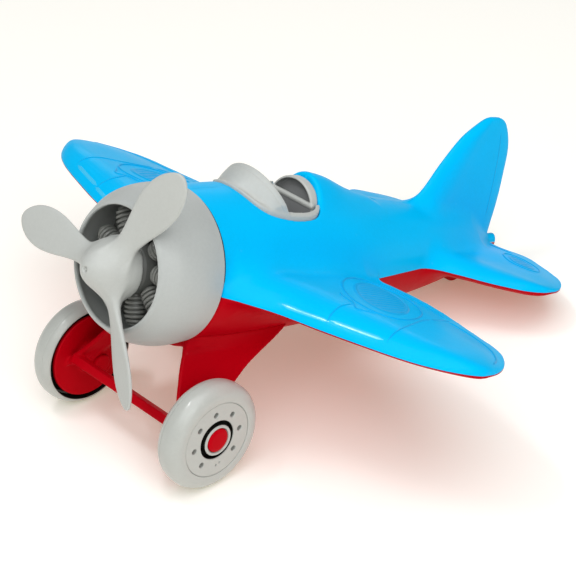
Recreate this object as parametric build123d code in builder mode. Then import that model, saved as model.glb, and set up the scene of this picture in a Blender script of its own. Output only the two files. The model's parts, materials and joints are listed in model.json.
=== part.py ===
from build123d import *
from math import sin, cos, radians
import os

os.makedirs("parts", exist_ok=True)

# Toy airplane, a low-wing tail-dragger that rests on two wheels and a tail skid.
# Row frame: +Z up, nose towards -Y, tail towards +Y, pilot's left is +X, floor at z = 0.
# The airframe leans nose-up, so its own axes are:
#   X  across, s  along the fuselage towards the tail, h  square to both, upwards.

# ------------------------------------------------------------------ driving dimensions (mm)
PITCH = 18.8            # nose-up angle of the fuselage axis at rest
AXLE_Y = -90.42         # wheel axle, along the row's Y
AXLE_Z = 21.9           # axle height = tyre radius
NOSE_Y = AXLE_Y + 15.7  # where the fuselage axis starts (back plane of the cowl)
NOSE_Z = 73.25
PART_H = -1.6           # parting plane of the two shells, at the fuselage
DIHEDRAL = 2.85         # the parting line climbs outwards in the wings
WALL = 2.2              # shell wall
HALF_SPAN = 120.5

COWL_R = 30.25          # cowl at its back edge
SPINNER_TIP = -41.9
BLADE_R = 52.9
BLADE_ANGLES = (30.5, 150.5, 270.5)   # from straight up, turning towards +X
CYLINDERS = 9
SHAFT_R = 2.5

TYRE_R = 21.9
WHEEL_IN = 33.2         # inner rim plane, |x|
WHEEL_OUT = 44.7        # outermost plane of the tyre, |x|
SEAM_X = 36.2           # joint between the two tyre mouldings
HUB_R = 15.3            # hub disc inside the ring groove
PIN_R = 3.4             # wheel pin
RUN = 0.07              # running clearance on radius

# ------------------------------------------------------------------ planes of the airframe
A = radians(PITCH)
AXD = Vector(0, cos(A), -sin(A))
UPD = Vector(0, sin(A), cos(A))
NOSE = Vector(0, NOSE_Y, NOSE_Z)
DECK = Plane(origin=NOSE, x_dir=(1, 0, 0), z_dir=UPD)          # local x = X, y = s, z = h


def station(s):
    """Cross-section plane: local x = X, local y = h."""
    return Plane(origin=NOSE + AXD * s, x_dir=(1, 0, 0), z_dir=-AXD)


def buttock(x):
    """Side-profile plane: local x = s, local y = h."""
    return Plane(origin=NOSE + Vector(x, 0, 0), x_dir=AXD, z_dir=(1, 0, 0))


def opening(inset):
    """Right half of the cockpit opening, drawn in by inset."""
    kx, ks = 1 - inset / 18.6, 1 - inset / 20.35
    return [(x * kx, 42.65 + (y - 42.65) * ks) for x, y in OPENING]


def parting(x):
    """Height of the parting line, level across the fuselage, then climbing."""
    return PART_H + max(0.0, abs(x) - 30.0) * sin(radians(DIHEDRAL))


# ------------------------------------------------------------------ fuselage sections
# s, half width at the parting plane, top height, bottom height
HULL = [
    (0.0, 29.6, 29.6, -29.6),
    (16.0, 29.9, 30.0, -30.2),
    (36.0, 29.9, 29.9, -30.0),
    (60.0, 29.4, 28.4, -28.6),
    (84.0, 28.2, 24.8, -26.4),
    (108.0, 24.6, 21.4, -24.0),
    (132.0, 20.6, 18.6, -20.9),
    (156.0, 15.4, 14.2, -17.2),
    (178.0, 8.6, 8.6, -11.6),
    (192.0, 4.0, 3.4, -5.6),
]
# x, leading edge s, trailing edge s, height above, depth below the parting line
WING = [
    (16.0, 0.4, 88.0, 10.4, 7.2),
    (31.0, 2.2, 87.6, 9.6, 5.2),
    (45.0, 8.6, 88.0, 9.0, 2.9),
    (62.0, 13.6, 86.2, 8.4, 2.3),
    (80.0, 18.8, 81.4, 7.6, 2.2),
    (95.0, 23.8, 77.0, 6.7, 2.1),
    (105.0, 28.6, 73.3, 5.9, 1.9),
    (112.0, 33.9, 67.6, 4.9, 1.7),
    (116.6, 38.8, 61.6, 3.8, 1.5),
    (119.3, 43.0, 55.6, 2.6, 1.2),
    (HALF_SPAN, 46.8, 50.4, 1.0, 0.7),
]
TAIL = [
    (0.0, 117.0, 192.6, 5.8, 5.0),
    (9.0, 121.0, 191.6, 5.6, 4.6),
    (20.0, 126.8, 195.6, 5.2, 3.8),
    (30.0, 135.4, 194.4, 4.6, 3.2),
    (40.0, 141.6, 190.2, 4.1, 2.8),
    (49.0, 148.2, 185.2, 3.6, 2.4),
    (55.0, 154.2, 178.6, 3.0, 2.0),
    (58.0, 160.2, 172.6, 2.1, 1.4),
    (59.0, 164.4, 168.4, 1.0, 0.7),
]
# h, leading edge s, trailing edge s, half thickness
FIN = [
    (-1.2, 110.0, 192.2, 5.0),
    (6.0, 117.0, 192.3, 4.8),
    (14.0, 127.0, 192.5, 4.4),
    (22.0, 136.6, 192.4, 4.0),
    (32.0, 143.6, 191.5, 3.6),
    (41.0, 149.8, 190.4, 3.2),
    (48.0, 155.8, 187.8, 2.8),
    (53.0, 162.8, 184.6, 2.3),
    (56.0, 168.0, 181.0, 1.6),
    (57.2, 172.4, 176.6, 0.8),
]
# Fairing behind the headrest: s, half width, top height
FAIRING = [
    (63.3, 14.4, 34.8),
    (72.0, 13.4, 33.0),
    (88.0, 10.4, 27.2),
    (104.0, 6.6, 22.2),
]
# Cockpit opening seen square to the deck, right half: X, s
OPENING = [
    (0.0, 22.3), (6.0, 22.9), (12.0, 25.0), (14.6, 27.4), (16.8, 32.0), (17.9, 37.0),
    (18.5, 42.0), (18.6, 47.5), (18.2, 52.0), (16.6, 57.0), (13.6, 60.3), (9.0, 62.2), (0.0, 63.0),
]
# Windshield hood: s, half width, top height of its outer skin
HOOD = [
    (21.6, 6.0, 29.4),
    (24.0, 10.6, 31.7),
    (28.0, 15.4, 35.5),
    (32.0, 18.4, 38.9),
    (36.0, 19.7, 41.4),
    (42.0, 20.2, 43.4),
]


def foil(x, le, te, up, down):
    """Points of a blunt-nosed wing section, both shells together, in the plane at x:
    the nose, three points over the top, the two ends of the trailing edge, three below."""
    p, c = parting(x), te - le
    edge = min(0.75, 0.6 * down)
    over = [(le + 0.035 * c, p + 0.50 * up), (le + 0.32 * c, p + up), (le + 0.68 * c, p + 0.66 * up)]
    under = [(le + 0.68 * c, p - 0.74 * down), (le + 0.34 * c, p - down), (le + 0.045 * c, p - 0.55 * down)]
    return (le, p), over, (te, p + edge), (te, p - edge), under


# ------------------------------------------------------------------ outer envelope (both shells together)
with BuildPart() as hull:
    for s, w, top, bot in HULL:
        with BuildSketch(station(s)):
            with BuildLine():
                EllipticalCenterArc((0, PART_H), w, top - PART_H, start_angle=0, arc_size=180)
                EllipticalCenterArc((0, PART_H), w, PART_H - bot, start_angle=180, arc_size=180)
            make_face()
    loft()

with BuildPart() as hull_core:
    for s, w, top, bot in HULL[:-2]:
        with BuildSketch(station(s - (1.0 if s == 0 else 0.0))):
            with BuildLine():
                EllipticalCenterArc((0, PART_H), w - WALL, top - WALL - PART_H, start_angle=0, arc_size=180)
                EllipticalCenterArc((0, PART_H), w - WALL, PART_H - bot - WALL, start_angle=180, arc_size=180)
            make_face()
    loft()

with BuildPart() as left_wing:
    for x, le, te, up, down in WING:
        nose, over, te_top, te_low, under = foil(x, le, te, up, down)
        with BuildSketch(buttock(x)):
            with BuildLine():
                Spline(nose, *over, te_top, tangents=((0, 1), (1, -0.10)), tangent_scalars=(0.6, 1))
                Line(te_top, te_low)
                Spline(te_low, *under, nose, tangents=((-1, -0.06), (0, 1)), tangent_scalars=(1, 0.6))
            make_face()
    loft()

with BuildPart() as left_wing_core:
    for x, le, te, up, down in WING[:-4]:
        nose, over, te_top, te_low, under = foil(x, le + 3.4, te - 6.0, up - 2.1, max(down - 1.9, 0.5))
        with BuildSketch(buttock(x)):
            with BuildLine():
                Spline(nose, *over, te_top, tangents=((0, 1), (1, -0.10)), tangent_scalars=(0.6, 1))
                Line(te_top, te_low)
                Spline(te_low, *under, nose, tangents=((-1, -0.06), (0, 1)), tangent_scalars=(1, 0.6))
            make_face()
    loft()

with BuildPart() as left_tail:
    for x, le, te, up, down in TAIL:
        nose, over, te_top, te_low, under = foil(x, le, te, up, down)
        with BuildSketch(buttock(x)):
            with BuildLine():
                Spline(nose, *over, te_top, tangents=((0, 1), (1, -0.10)), tangent_scalars=(0.6, 1))
                Line(te_top, te_low)
                Spline(te_low, *under, nose, tangents=((-1, -0.06), (0, 1)), tangent_scalars=(1, 0.6))
            make_face()
    loft()

with BuildPart() as fin:
    for h, le, te, t in FIN:
        with BuildSketch(DECK.offset(h)):
            with BuildLine():
                c = te - le
                Spline((0, le), (0.62 * t, le + 0.06 * c), (t, le + 0.34 * c), (0.72 * t, le + 0.72 * c), (0, te),
                       tangents=((1, 0), (-1, 0)), tangent_scalars=(0.6, 0.35))
                Spline((0, te), (-0.72 * t, le + 0.72 * c), (-t, le + 0.34 * c), (-0.62 * t, le + 0.06 * c), (0, le),
                       tangents=((-1, 0), (1, 0)), tangent_scalars=(0.35, 0.6))
            make_face()
    loft()

with BuildPart() as fairing:
    for s, w, top in FAIRING:
        with BuildSketch(station(s)):
            with BuildLine():
                EllipticalCenterArc((0, 12.0), w, top - 12.0, start_angle=0, arc_size=180)
                Line((-w, 12.0), (w, 12.0))
            make_face()
    loft()

with BuildPart() as envelope:
    add(hull.part)
    add(left_wing.part)
    add(mirror(left_wing.part, about=Plane.YZ, mode=Mode.PRIVATE))
    add(left_tail.part)
    add(mirror(left_tail.part, about=Plane.YZ, mode=Mode.PRIVATE))
    add(fin.part)
    add(fairing.part)

with BuildPart() as upper_region:
    with BuildSketch(station(-45.0)):
        with BuildLine():
            Polyline((-140, parting(140)), (-30, PART_H), (30, PART_H), (140, parting(140)),
                     (140, 100), (-140, 100), close=True)
        make_face()
    extrude(amount=-300)

right_wing_core = mirror(left_wing_core.part, about=Plane.YZ)

# ------------------------------------------------------------------ assembly pegs and sockets of the two shells
PEGS = [(21.0, 76.0), (-21.0, 76.0), (0.0, 112.0), (0.0, 146.0), (58.0, 48.0), (-58.0, 48.0), (92.0, 50.0), (-92.0, 50.0)]

with BuildPart() as socket_posts:
    for x, y in PEGS:
        with BuildSketch(DECK.offset(parting(x))):
            with Locations((x, y)):
                Circle(4.2)
        extrude(amount=60)
    add(envelope.part, mode=Mode.INTERSECT)

with BuildPart() as peg_posts:
    for x, y in PEGS:
        with BuildSketch(DECK.offset(parting(x))):
            with Locations((x, y)):
                Circle(3.6)
        extrude(amount=-60)
    add(envelope.part, mode=Mode.INTERSECT)

# ------------------------------------------------------------------ upper shell (fuselage top, wings, tailplane, fin)
with BuildPart() as upper_shell:
    add(envelope.part)
    add(hull_core.part, mode=Mode.SUBTRACT)
    add(left_wing_core.part, mode=Mode.SUBTRACT)
    add(right_wing_core, mode=Mode.SUBTRACT)
    add(upper_region.part, mode=Mode.INTERSECT)
    add(socket_posts.part)
    with BuildSketch(DECK.offset(4.0)):
        with BuildLine():
            Spline(*opening(0.0), tangents=((1, 0), (-1, 0)))
            mirror(about=Plane.YZ)
        make_face()
    extrude(amount=60, mode=Mode.SUBTRACT)
    for x, y in PEGS:
        with BuildSketch(DECK.offset(parting(x) - 1.0)):
            with Locations((x, y)):
                Circle(2.1)
        extrude(amount=6.0, mode=Mode.SUBTRACT)

# ------------------------------------------------------------------ lower shell (belly, undersides, tail skid)
GEAR_PEGS = (16.0, 37.0)    # s of the two pegs that hold the landing gear

with BuildPart() as lower_shell:
    add(envelope.part)
    add(hull_core.part, mode=Mode.SUBTRACT)
    add(left_wing_core.part, mode=Mode.SUBTRACT)
    add(right_wing_core, mode=Mode.SUBTRACT)
    add(upper_region.part, mode=Mode.SUBTRACT)
    add(peg_posts.part)
    for x, y in PEGS:
        with BuildSketch(DECK.offset(parting(x) - 1.0)):
            with Locations((x, y)):
                Circle(2.0)
        extrude(amount=5.5)
    # tail skid: a blunt foot with a flat sole on the floor
    with BuildSketch(Plane.XY) as sole:
        with Locations((0, AXLE_Y + 178.0)):
            RectangleRounded(8.0, 12.0, 2.5)
    with BuildSketch(Plane.XY.offset(9.5)):
        with Locations((0, AXLE_Y + 176.0)):
            RectangleRounded(12.0, 20.0, 3.0)
    loft()
    # two holes in the belly for the landing gear's pegs
    for y in GEAR_PEGS:
        with BuildSketch(DECK.offset(-36.0)):
            with Locations((0, y)):
                Circle(3.05)
        extrude(amount=16, mode=Mode.SUBTRACT)

# ------------------------------------------------------------------ landing gear (legs, saddle, crossbar, wheel discs)
# horizontal sections of the left leg: z, outer x, depth of the rib, front y, rear y (y from the axle)
LEG = [
    (22.6, 33.3, 6.0, -11.6, -2.0),
    (24.4, 33.0, 6.0, -11.4, 1.5),
    (29.0, 30.0, 5.6, -7.6, 11.0),
    (33.0, 27.0, 5.4, -4.4, 24.0),
    (36.4, 24.8, 5.2, -1.8, 41.0),
    (39.5, 22.7, 5.0, 0.6, 50.0),
    (47.0, 19.0, 5.0, 6.5, 56.0),
    (55.0, 17.0, 5.0, 11.0, 58.0),
]

with BuildPart() as left_leg:
    for z, xo, rib, yf, yr in LEG:
        with BuildSketch(Plane.XY.offset(z)):
            with BuildLine():
                Polyline((xo, AXLE_Y + yf), (xo, AXLE_Y + yr), (xo - 2.4, AXLE_Y + yr), (xo - 2.4, AXLE_Y + yf + 12.0),
                         (xo - rib, AXLE_Y + yf + 10.6), (xo - 2.2, AXLE_Y + yf + 2.2), close=True)
            make_face()
            fillet(vertices(), 0.5)
    loft()

with BuildPart() as saddle:
    for s, r in ((-2.0, 31.9), (24.0, 32.4), (44.0, 31.6)):
        with BuildSketch(station(s)):
            Circle(r)
    loft()
    with BuildSketch(DECK.offset(-60)):
        with Locations((0, 24.5)):
            RectangleRounded(39.0, 44.0, 5.0)
    extrude(amount=45, mode=Mode.INTERSECT)

with BuildPart() as landing_gear:
    add(left_leg.part)
    add(mirror(left_leg.part, about=Plane.YZ, mode=Mode.PRIVATE))
    add(saddle.part)
    # crossbar between the feet of the legs
    with BuildSketch(Plane.YZ.offset(-30)):
        with BuildLine():
            Polyline((AXLE_Y - 11.3, 24.8), (AXLE_Y - 7.8, 23.6), (AXLE_Y - 6.4, 26.6), (AXLE_Y - 9.6, 28.0), close=True)
        make_face()
        fillet(vertices(), 0.8)
    extrude(amount=60)
    # round disc that closes the back of each wheel, with its hub
    for side in (1, -1):
        with BuildSketch(Plane(origin=(side * 33.0, AXLE_Y, AXLE_Z), x_dir=(0, 1, 0), z_dir=(side, 0, 0))):
            Circle(17.6)
        extrude(amount=2.0)
        with BuildSketch(Plane(origin=(side * 26.2, AXLE_Y, AXLE_Z), x_dir=(0, 1, 0), z_dir=(side, 0, 0))):
            Circle(6.6)
        extrude(amount=8.8)
    add(hull.part, mode=Mode.SUBTRACT)
    for y in GEAR_PEGS:
        with BuildSketch(DECK.offset(-31.4)):
            with Locations((0, y)):
                Circle(3.0)
        extrude(amount=8.4)
    for side in (1, -1):
        with BuildSketch(Plane(origin=(side * 24.0, AXLE_Y, AXLE_Z), x_dir=(0, 1, 0), z_dir=(side, 0, 0))):
            Circle(PIN_R + 0.02)
        extrude(amount=12, mode=Mode.SUBTRACT)

# ------------------------------------------------------------------ engine cowl
with BuildPart() as engine_cowl:
    with BuildSketch(buttock(0)):
        with BuildLine():
            Spline((-0.2, 30.25), (-8.0, 30.8), (-15.0, 30.1), (-21.0, 28.1), (-25.2, 25.4), (-26.8, 23.8),
                   tangents=((-1, 0.08), (-0.5, -1)))
            Polyline((-26.8, 23.8), (-26.6, 23.2), (-25.4, 23.0))
            Spline((-25.4, 23.0), (-21.0, 25.8), (-14.0, 27.7), (-7.0, 28.2), tangents=((1, 0.75), (1, 0)))
            Polyline((-7.0, 28.2), (-7.0, 28.4), (-0.2, 28.4), (-0.2, 30.25))
        make_face()
    revolve(axis=Axis(NOSE, AXD))

# ------------------------------------------------------------------ radial engine
with BuildPart() as engine_crankcase:
    with BuildSketch(buttock(0)):
        with BuildLine():
            Polyline((4.0, 24.2), (4.0, 26.5), (-0.3, 26.5), (-0.3, 28.2), (-6.6, 28.2), (-6.6, 13.0), (-12.0, 11.5),
                     (-21.0, 10.4), (-22.6, 9.0), (-22.6, SHAFT_R + RUN), (-3.4, SHAFT_R + RUN), (-3.4, 24.2), close=True)
        make_face()
    revolve(axis=Axis(NOSE, AXD))

with BuildPart() as engine_cylinders:
    for i in range(CYLINDERS):
        a = radians(4.0 + i * 360.0 / CYLINDERS)
        out = Vector(1, 0, 0) * sin(a) + UPD * cos(a)
        side = Vector(1, 0, 0) * cos(a) - UPD * sin(a)
        with BuildSketch(Plane(origin=NOSE + AXD * -16.6, x_dir=out, z_dir=side)):
            with BuildLine():
                Polyline((8.0, 0), (8.0, 3.0), (13.0, 3.0), (13.0, 4.0), (13.9, 4.0), (13.9, 3.2), (14.7, 3.2), (14.7, 4.1),
                         (15.6, 4.1), (15.6, 3.2), (16.4, 3.2), (16.4, 4.2), (17.3, 4.2), (17.3, 3.2), (18.1, 3.2), (18.1, 4.1),
                         (19.0, 4.1), (19.0, 3.2), (19.8, 3.2), (19.8, 3.9), (20.7, 3.9), (20.7, 2.6), (22.4, 2.6),
                         (22.9, 2.0), (22.9, 0), close=True)
            make_face()
        revolve(axis=Axis(NOSE + AXD * -16.6, out))
    add(engine_crankcase.part, mode=Mode.SUBTRACT)

# ------------------------------------------------------------------ propeller, its shaft and retainer
# radius, chord, thickness and twist of a blade
BLADE = [
    (4.0, 8.0, 6.0, 30.0), (11.0, 8.4, 5.2, 28.0), (17.0, 9.4, 3.8, 26.0), (24.0, 12.2, 2.9, 24.0), (31.0, 15.2, 2.6, 22.5),
    (38.0, 16.4, 2.4, 21.0), (44.0, 14.8, 2.2, 20.0), (48.5, 11.2, 1.9, 20.0), (51.6, 6.2, 1.4, 20.0),
    (BLADE_R, 1.8, 0.7, 20.0),
]

with BuildPart() as blades:
    for angle in BLADE_ANGLES:
        a = radians(angle)
        out = Vector(1, 0, 0) * sin(a) + UPD * cos(a)
        side = Vector(1, 0, 0) * cos(a) - UPD * sin(a)
        for r, width, thick, twist in BLADE:
            t = radians(twist)
            with BuildSketch(Plane(origin=NOSE + AXD * -30.4 + out * r, x_dir=side * cos(t) + AXD * sin(t), z_dir=out)):
                Ellipse(width / 2, thick / 2)
        loft()

with BuildPart() as propeller:
    with BuildSketch(buttock(0)):
        with BuildLine():
            Spline((SPINNER_TIP, 0), (-40.2, 4.4), (-36.5, 7.7), (-31.0, 10.5), (-26.0, 11.8), (-23.6, 11.9),
                   tangents=((0, 1), (1, 0)))
            Polyline((-23.6, 11.9), (-23.6, 10.0), (-27.0, 9.6), (-27.0, 5.2), (-23.0, 4.6), (-23.0, 0), (SPINNER_TIP, 0))
        make_face()
    revolve(axis=Axis(NOSE, AXD))
    add(blades.part)
    with BuildSketch(station(-36.0)):
        Circle(SHAFT_R)
    extrude(amount=-16, mode=Mode.SUBTRACT)

with BuildPart() as propeller_shaft:
    with BuildSketch(station(-36.0)):
        Circle(SHAFT_R)
    extrude(amount=-37.0)
    chamfer(edges().filter_by(GeomType.CIRCLE), 0.4)

with BuildPart() as shaft_retainer:
    with BuildSketch(station(-3.0)):
        Circle(6.0)
        Circle(SHAFT_R, mode=Mode.SUBTRACT)
    extrude(amount=-2.4)
    chamfer(edges().filter_by(GeomType.CIRCLE).sort_by(SortBy.RADIUS)[-2:], 0.5)

# ------------------------------------------------------------------ cockpit: windshield with its rim, tub, seat
with BuildPart() as hull_proud:
    for s, w, top, bot in HULL[:6]:
        with BuildSketch(station(s)):
            Ellipse(w + 0.9, top + 0.9)
    loft()

with BuildPart() as hood_skin:
    for s, w, top in HOOD:
        with BuildSketch(station(s)):
            with BuildLine():
                EllipticalCenterArc((0, 16.0), w, top - 16.0, start_angle=0, arc_size=180)
                Line((-w, 16.0), (w, 16.0))
            make_face()
    loft()

with BuildPart() as hood_core:
    for s, w, top in HOOD:
        with BuildSketch(station(s + 2.0)):
            with BuildLine():
                EllipticalCenterArc((0, 15.0), w - 1.0, top - 0.6 - 15.0, start_angle=0, arc_size=180)
                Line((-w + 1.0, 15.0), (w - 1.0, 15.0))
            make_face()
    loft()

# seat: a dished back with a thick round edge, a bench and two armrests, in one moulding
with BuildPart() as pilot_seat:
    with BuildSketch(station(62.4)):
        with BuildLine():
            Polyline((-12.6, 8.8), (-12.6, 20.2))
            ThreePointArc((-12.6, 20.2), (0, 32.9), (12.6, 20.2))
            Polyline((12.6, 20.2), (12.6, 8.8), (-12.6, 8.8))
        make_face()
    extrude(amount=4.8)
    with BuildSketch(DECK.offset(8.8)):
        with Locations((0, 48.7)):
            RectangleRounded(25.2, 23.4, 2.0)
    extrude(amount=3.6)
    for side in (1, -1):
        with BuildSketch(DECK.offset(8.8)):
            with Locations((side * 11.4, 48.4)):
                RectangleRounded(2.4, 22.8, 1.0)
        extrude(amount=11.6)
    # the dish of the backrest
    with BuildSketch(station(56.6)):
        with BuildLine():
            Polyline((-9.4, 12.4), (-9.4, 20.2))
            ThreePointArc((-9.4, 20.2), (0, 29.6), (9.4, 20.2))
            Polyline((9.4, 20.2), (9.4, 12.4), (-9.4, 12.4))
        make_face()
    extrude(amount=-4.2, taper=12, mode=Mode.SUBTRACT)
    with BuildSketch(DECK.offset(8.8)):
        with BuildLine():
            Spline(*opening(0.4), tangents=((1, 0), (-1, 0)))
            mirror(about=Plane.YZ)
        make_face()
    extrude(amount=30, mode=Mode.INTERSECT)

# bucket under the rim, open at the top
with BuildPart() as cockpit_tub:
    with BuildSketch(DECK.offset(7.0)):
        with BuildLine():
            Spline(*opening(0.3), tangents=((1, 0), (-1, 0)))
            mirror(about=Plane.YZ)
        make_face()
    extrude(amount=10.9)
    with BuildSketch(DECK.offset(8.7)):
        with BuildLine():
            Spline(*opening(2.0), tangents=((1, 0), (-1, 0)))
            mirror(about=Plane.YZ)
        make_face()
    extrude(amount=20, mode=Mode.SUBTRACT)
    add(pilot_seat.part, mode=Mode.SUBTRACT)

# rim that follows the opening and stands just proud of the shell
with BuildPart() as rim:
    with BuildSketch(DECK.offset(18.0)):
        with BuildLine():
            Spline(*opening(0.15), tangents=((1, 0), (-1, 0)))
            mirror(about=Plane.YZ)
        make_face()
    extrude(amount=20)
    with BuildSketch(DECK.offset(18.0)):
        with BuildLine():
            Spline(*opening(1.9), tangents=((1, 0), (-1, 0)))
            mirror(about=Plane.YZ)
        make_face()
    extrude(amount=20, mode=Mode.SUBTRACT)
    add(hull_proud.part, mode=Mode.INTERSECT)

with BuildPart() as windshield:
    add(hood_skin.part)
    add(hood_core.part, mode=Mode.SUBTRACT)
    # the raked rear edge of the hood
    with BuildSketch(buttock(-30)):
        with BuildLine():
            Polyline((10, 20), (42.0, 20), (38.6, 26.0), (31.0, 38.4), (28.0, 46), (10, 46), close=True)
        make_face()
    extrude(amount=60, mode=Mode.INTERSECT)
    add(hull.part, mode=Mode.SUBTRACT)
    add(rim.part)
    add(pilot_seat.part, mode=Mode.SUBTRACT)

# ------------------------------------------------------------------ wheels, one side; local x = X, local y = radius
HALF = Plane(origin=(0, AXLE_Y, AXLE_Z), x_dir=(1, 0, 0), z_dir=(0, -1, 0))
AXLE = Axis((0, AXLE_Y, AXLE_Z), (1, 0, 0))
HUB_FACE = 43.8

with BuildPart() as wheel_shell_left:      # tread and outer face of the tyre
    with BuildSketch(HALF):
        with BuildLine():
            Polyline((41.2, HUB_R + 0.06), (43.7, HUB_R + 0.06), (44.0, HUB_R + 0.4))
            Spline((44.0, HUB_R + 0.4), (44.1, 17.3), (43.4, 19.4), (41.8, 21.1), (39.0, TYRE_R),
                   tangents=((0.3, 1), (-1, 0)))
            Spline((39.0, TYRE_R), (37.6, 21.85), (SEAM_X, 21.65), tangents=((-1, 0), (-1, -0.16)))
            Polyline((SEAM_X, 21.65), (SEAM_X, 19.9), (40.4, 19.9), (41.2, 19.1), (41.2, HUB_R + 0.06))
        make_face()
    revolve(axis=AXLE)

with BuildPart() as wheel_back_left:       # ring that closes the tyre on the inner side
    with BuildSketch(HALF):
        with BuildLine():
            Spline((SEAM_X, 21.65), (34.8, 21.2), (33.8, 20.5), (WHEEL_IN, 19.6), tangents=((-1, -0.18), (0, -1)))
            Polyline((WHEEL_IN, 19.6), (33.4, 19.2), (38.0, 19.2), (38.0, 19.8), (SEAM_X, 19.8), (SEAM_X, 21.65))
        make_face()
    revolve(axis=AXLE)

with BuildPart() as hub_disc_left:         # face of the hub with its bearing sleeve
    with BuildSketch(HALF):
        with BuildLine():
            Polyline((35.6, PIN_R + RUN), (35.6, 6.2), (39.4, 6.2), (39.4, 18.8), (41.2, 18.8), (41.2, HUB_R), (HUB_FACE - 0.3, HUB_R),
                     (HUB_FACE, HUB_R - 0.3), (HUB_FACE, 8.0), (42.0, 7.8), (42.0, 6.4), (44.2, 6.3), (44.5, 6.0), (44.5, 5.4), (44.2, 5.1),
                     (42.6, 5.05), (42.6, PIN_R + RUN), close=True)
        make_face()
    revolve(axis=AXLE)
    with BuildSketch(Plane(origin=(HUB_FACE, AXLE_Y, AXLE_Z), x_dir=(0, 1, 0), z_dir=(1, 0, 0))):
        with PolarLocations(11.1, 8, start_angle=90):
            Circle(0.95)
        with Locations((0, -11.1)):
            Circle(1.2, mode=Mode.SUBTRACT)
        with Locations((-0.8, -11.3), (0.9, -10.9)):
            Circle(0.35)
    extrude(amount=-1.3, mode=Mode.SUBTRACT)

with BuildPart() as axle_pin_left:         # pin with a round button head, fixed in the leg
    with BuildSketch(HALF):
        with BuildLine():
            Polyline((25.0, 0), (25.0, PIN_R - 0.5), (25.5, PIN_R), (42.8, PIN_R), (42.8, 4.9), (44.2, 4.9), (44.6, 4.5))
            Polyline((44.6, 4.5), (44.9, 3.0), (44.9, 0), (25.0, 0))
        make_face()
    revolve(axis=AXLE)

# ------------------------------------------------------------------ labels and files
pieces = dict(
    upper_shell=upper_shell.part.solids().sort_by(SortBy.VOLUME)[-1],   # the chips where the core grazes the parting plane are dropped
    lower_shell=lower_shell.part,
    landing_gear=landing_gear.part,
    engine_cowl=engine_cowl.part,
    engine_crankcase=engine_crankcase.part,
    engine_cylinders=engine_cylinders.part,
    propeller=propeller.part,
    propeller_shaft=propeller_shaft.part,
    shaft_retainer=shaft_retainer.part,
    windshield=windshield.part.solids().sort_by(SortBy.VOLUME)[-1],
    cockpit_tub=cockpit_tub.part.solids().sort_by(SortBy.VOLUME)[-1],
    pilot_seat=pilot_seat.part,
    wheel_shell_left=wheel_shell_left.part,
    wheel_back_left=wheel_back_left.part,
    hub_disc_left=hub_disc_left.part,
    axle_pin_left=axle_pin_left.part,
    wheel_shell_right=mirror(wheel_shell_left.part, about=Plane.YZ),
    wheel_back_right=mirror(wheel_back_left.part, about=Plane.YZ),
    hub_disc_right=mirror(hub_disc_left.part, about=Plane.YZ),
    axle_pin_right=mirror(axle_pin_left.part, about=Plane.YZ),
)
low, high = [1e9] * 3, [-1e9] * 3
for name, piece in pieces.items():
    piece.label = name
    export_step(piece, f"parts/{name}.step")
    box = piece.bounding_box()
    low = [min(a, b) for a, b in zip(low, box.min)]
    high = [max(a, b) for a, b in zip(high, box.max)]
    print(name, len(piece.solids()), round(piece.volume), piece.is_valid)
print("low", [round(v, 3) for v in low], "high", [round(v, 3) for v in high])
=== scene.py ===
import json
import math
import bpy
import bmesh
import numpy as np
from mathutils import Vector, Matrix
from mathutils.geometry import delaunay_2d_cdt

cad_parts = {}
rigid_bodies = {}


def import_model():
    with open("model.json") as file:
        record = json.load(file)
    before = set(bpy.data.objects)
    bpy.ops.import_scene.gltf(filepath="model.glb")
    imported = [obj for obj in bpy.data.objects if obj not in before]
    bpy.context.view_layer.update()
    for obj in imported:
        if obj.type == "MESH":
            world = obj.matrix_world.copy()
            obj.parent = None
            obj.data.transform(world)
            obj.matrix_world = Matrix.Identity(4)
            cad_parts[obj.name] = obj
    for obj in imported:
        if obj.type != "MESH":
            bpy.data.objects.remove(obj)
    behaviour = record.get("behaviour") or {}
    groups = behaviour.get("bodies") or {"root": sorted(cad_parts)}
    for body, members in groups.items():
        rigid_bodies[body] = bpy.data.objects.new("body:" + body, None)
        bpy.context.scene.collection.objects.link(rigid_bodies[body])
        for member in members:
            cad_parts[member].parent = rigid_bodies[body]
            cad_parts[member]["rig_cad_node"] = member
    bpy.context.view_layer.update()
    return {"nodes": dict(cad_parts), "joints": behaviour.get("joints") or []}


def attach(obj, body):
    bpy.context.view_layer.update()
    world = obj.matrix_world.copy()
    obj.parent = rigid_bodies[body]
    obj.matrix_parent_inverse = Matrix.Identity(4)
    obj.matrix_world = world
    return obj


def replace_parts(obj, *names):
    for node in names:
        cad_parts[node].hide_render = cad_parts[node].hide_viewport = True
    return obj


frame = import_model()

# ------------------------------------------------------------------ the airframe's axes, in mm
joint = {j["name"]: j for j in frame["joints"]}
AXLE_Y, AXLE_Z = [1000 * c for c in joint["wheel_left_spin"]["pos_m"][1:]]
PITCH = math.radians(18.8)
CP, SP = math.cos(PITCH), math.sin(PITCH)
PROP_PIVOT = [1000 * c for c in joint["propeller_spin"]["pos_m"]]
NOSE = np.array([0.0, PROP_PIVOT[1] + 30.0 * CP, PROP_PIVOT[2] - 30.0 * SP])
AXD = np.array([0.0, CP, -SP])
UPD = np.array([0.0, SP, CP])
XD = np.array([1.0, 0.0, 0.0])


def to_row(v):
    """(X, s, h) of the airframe to the row frame, mm."""
    return NOSE + v[..., 0:1] * XD + v[..., 1:2] * AXD + v[..., 2:3] * UPD


PART_H = -1.6
DIHEDRAL = math.radians(2.85)


def parting(x):
    return PART_H + np.maximum(0.0, np.abs(x) - 30.0) * math.sin(DIHEDRAL)


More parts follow.
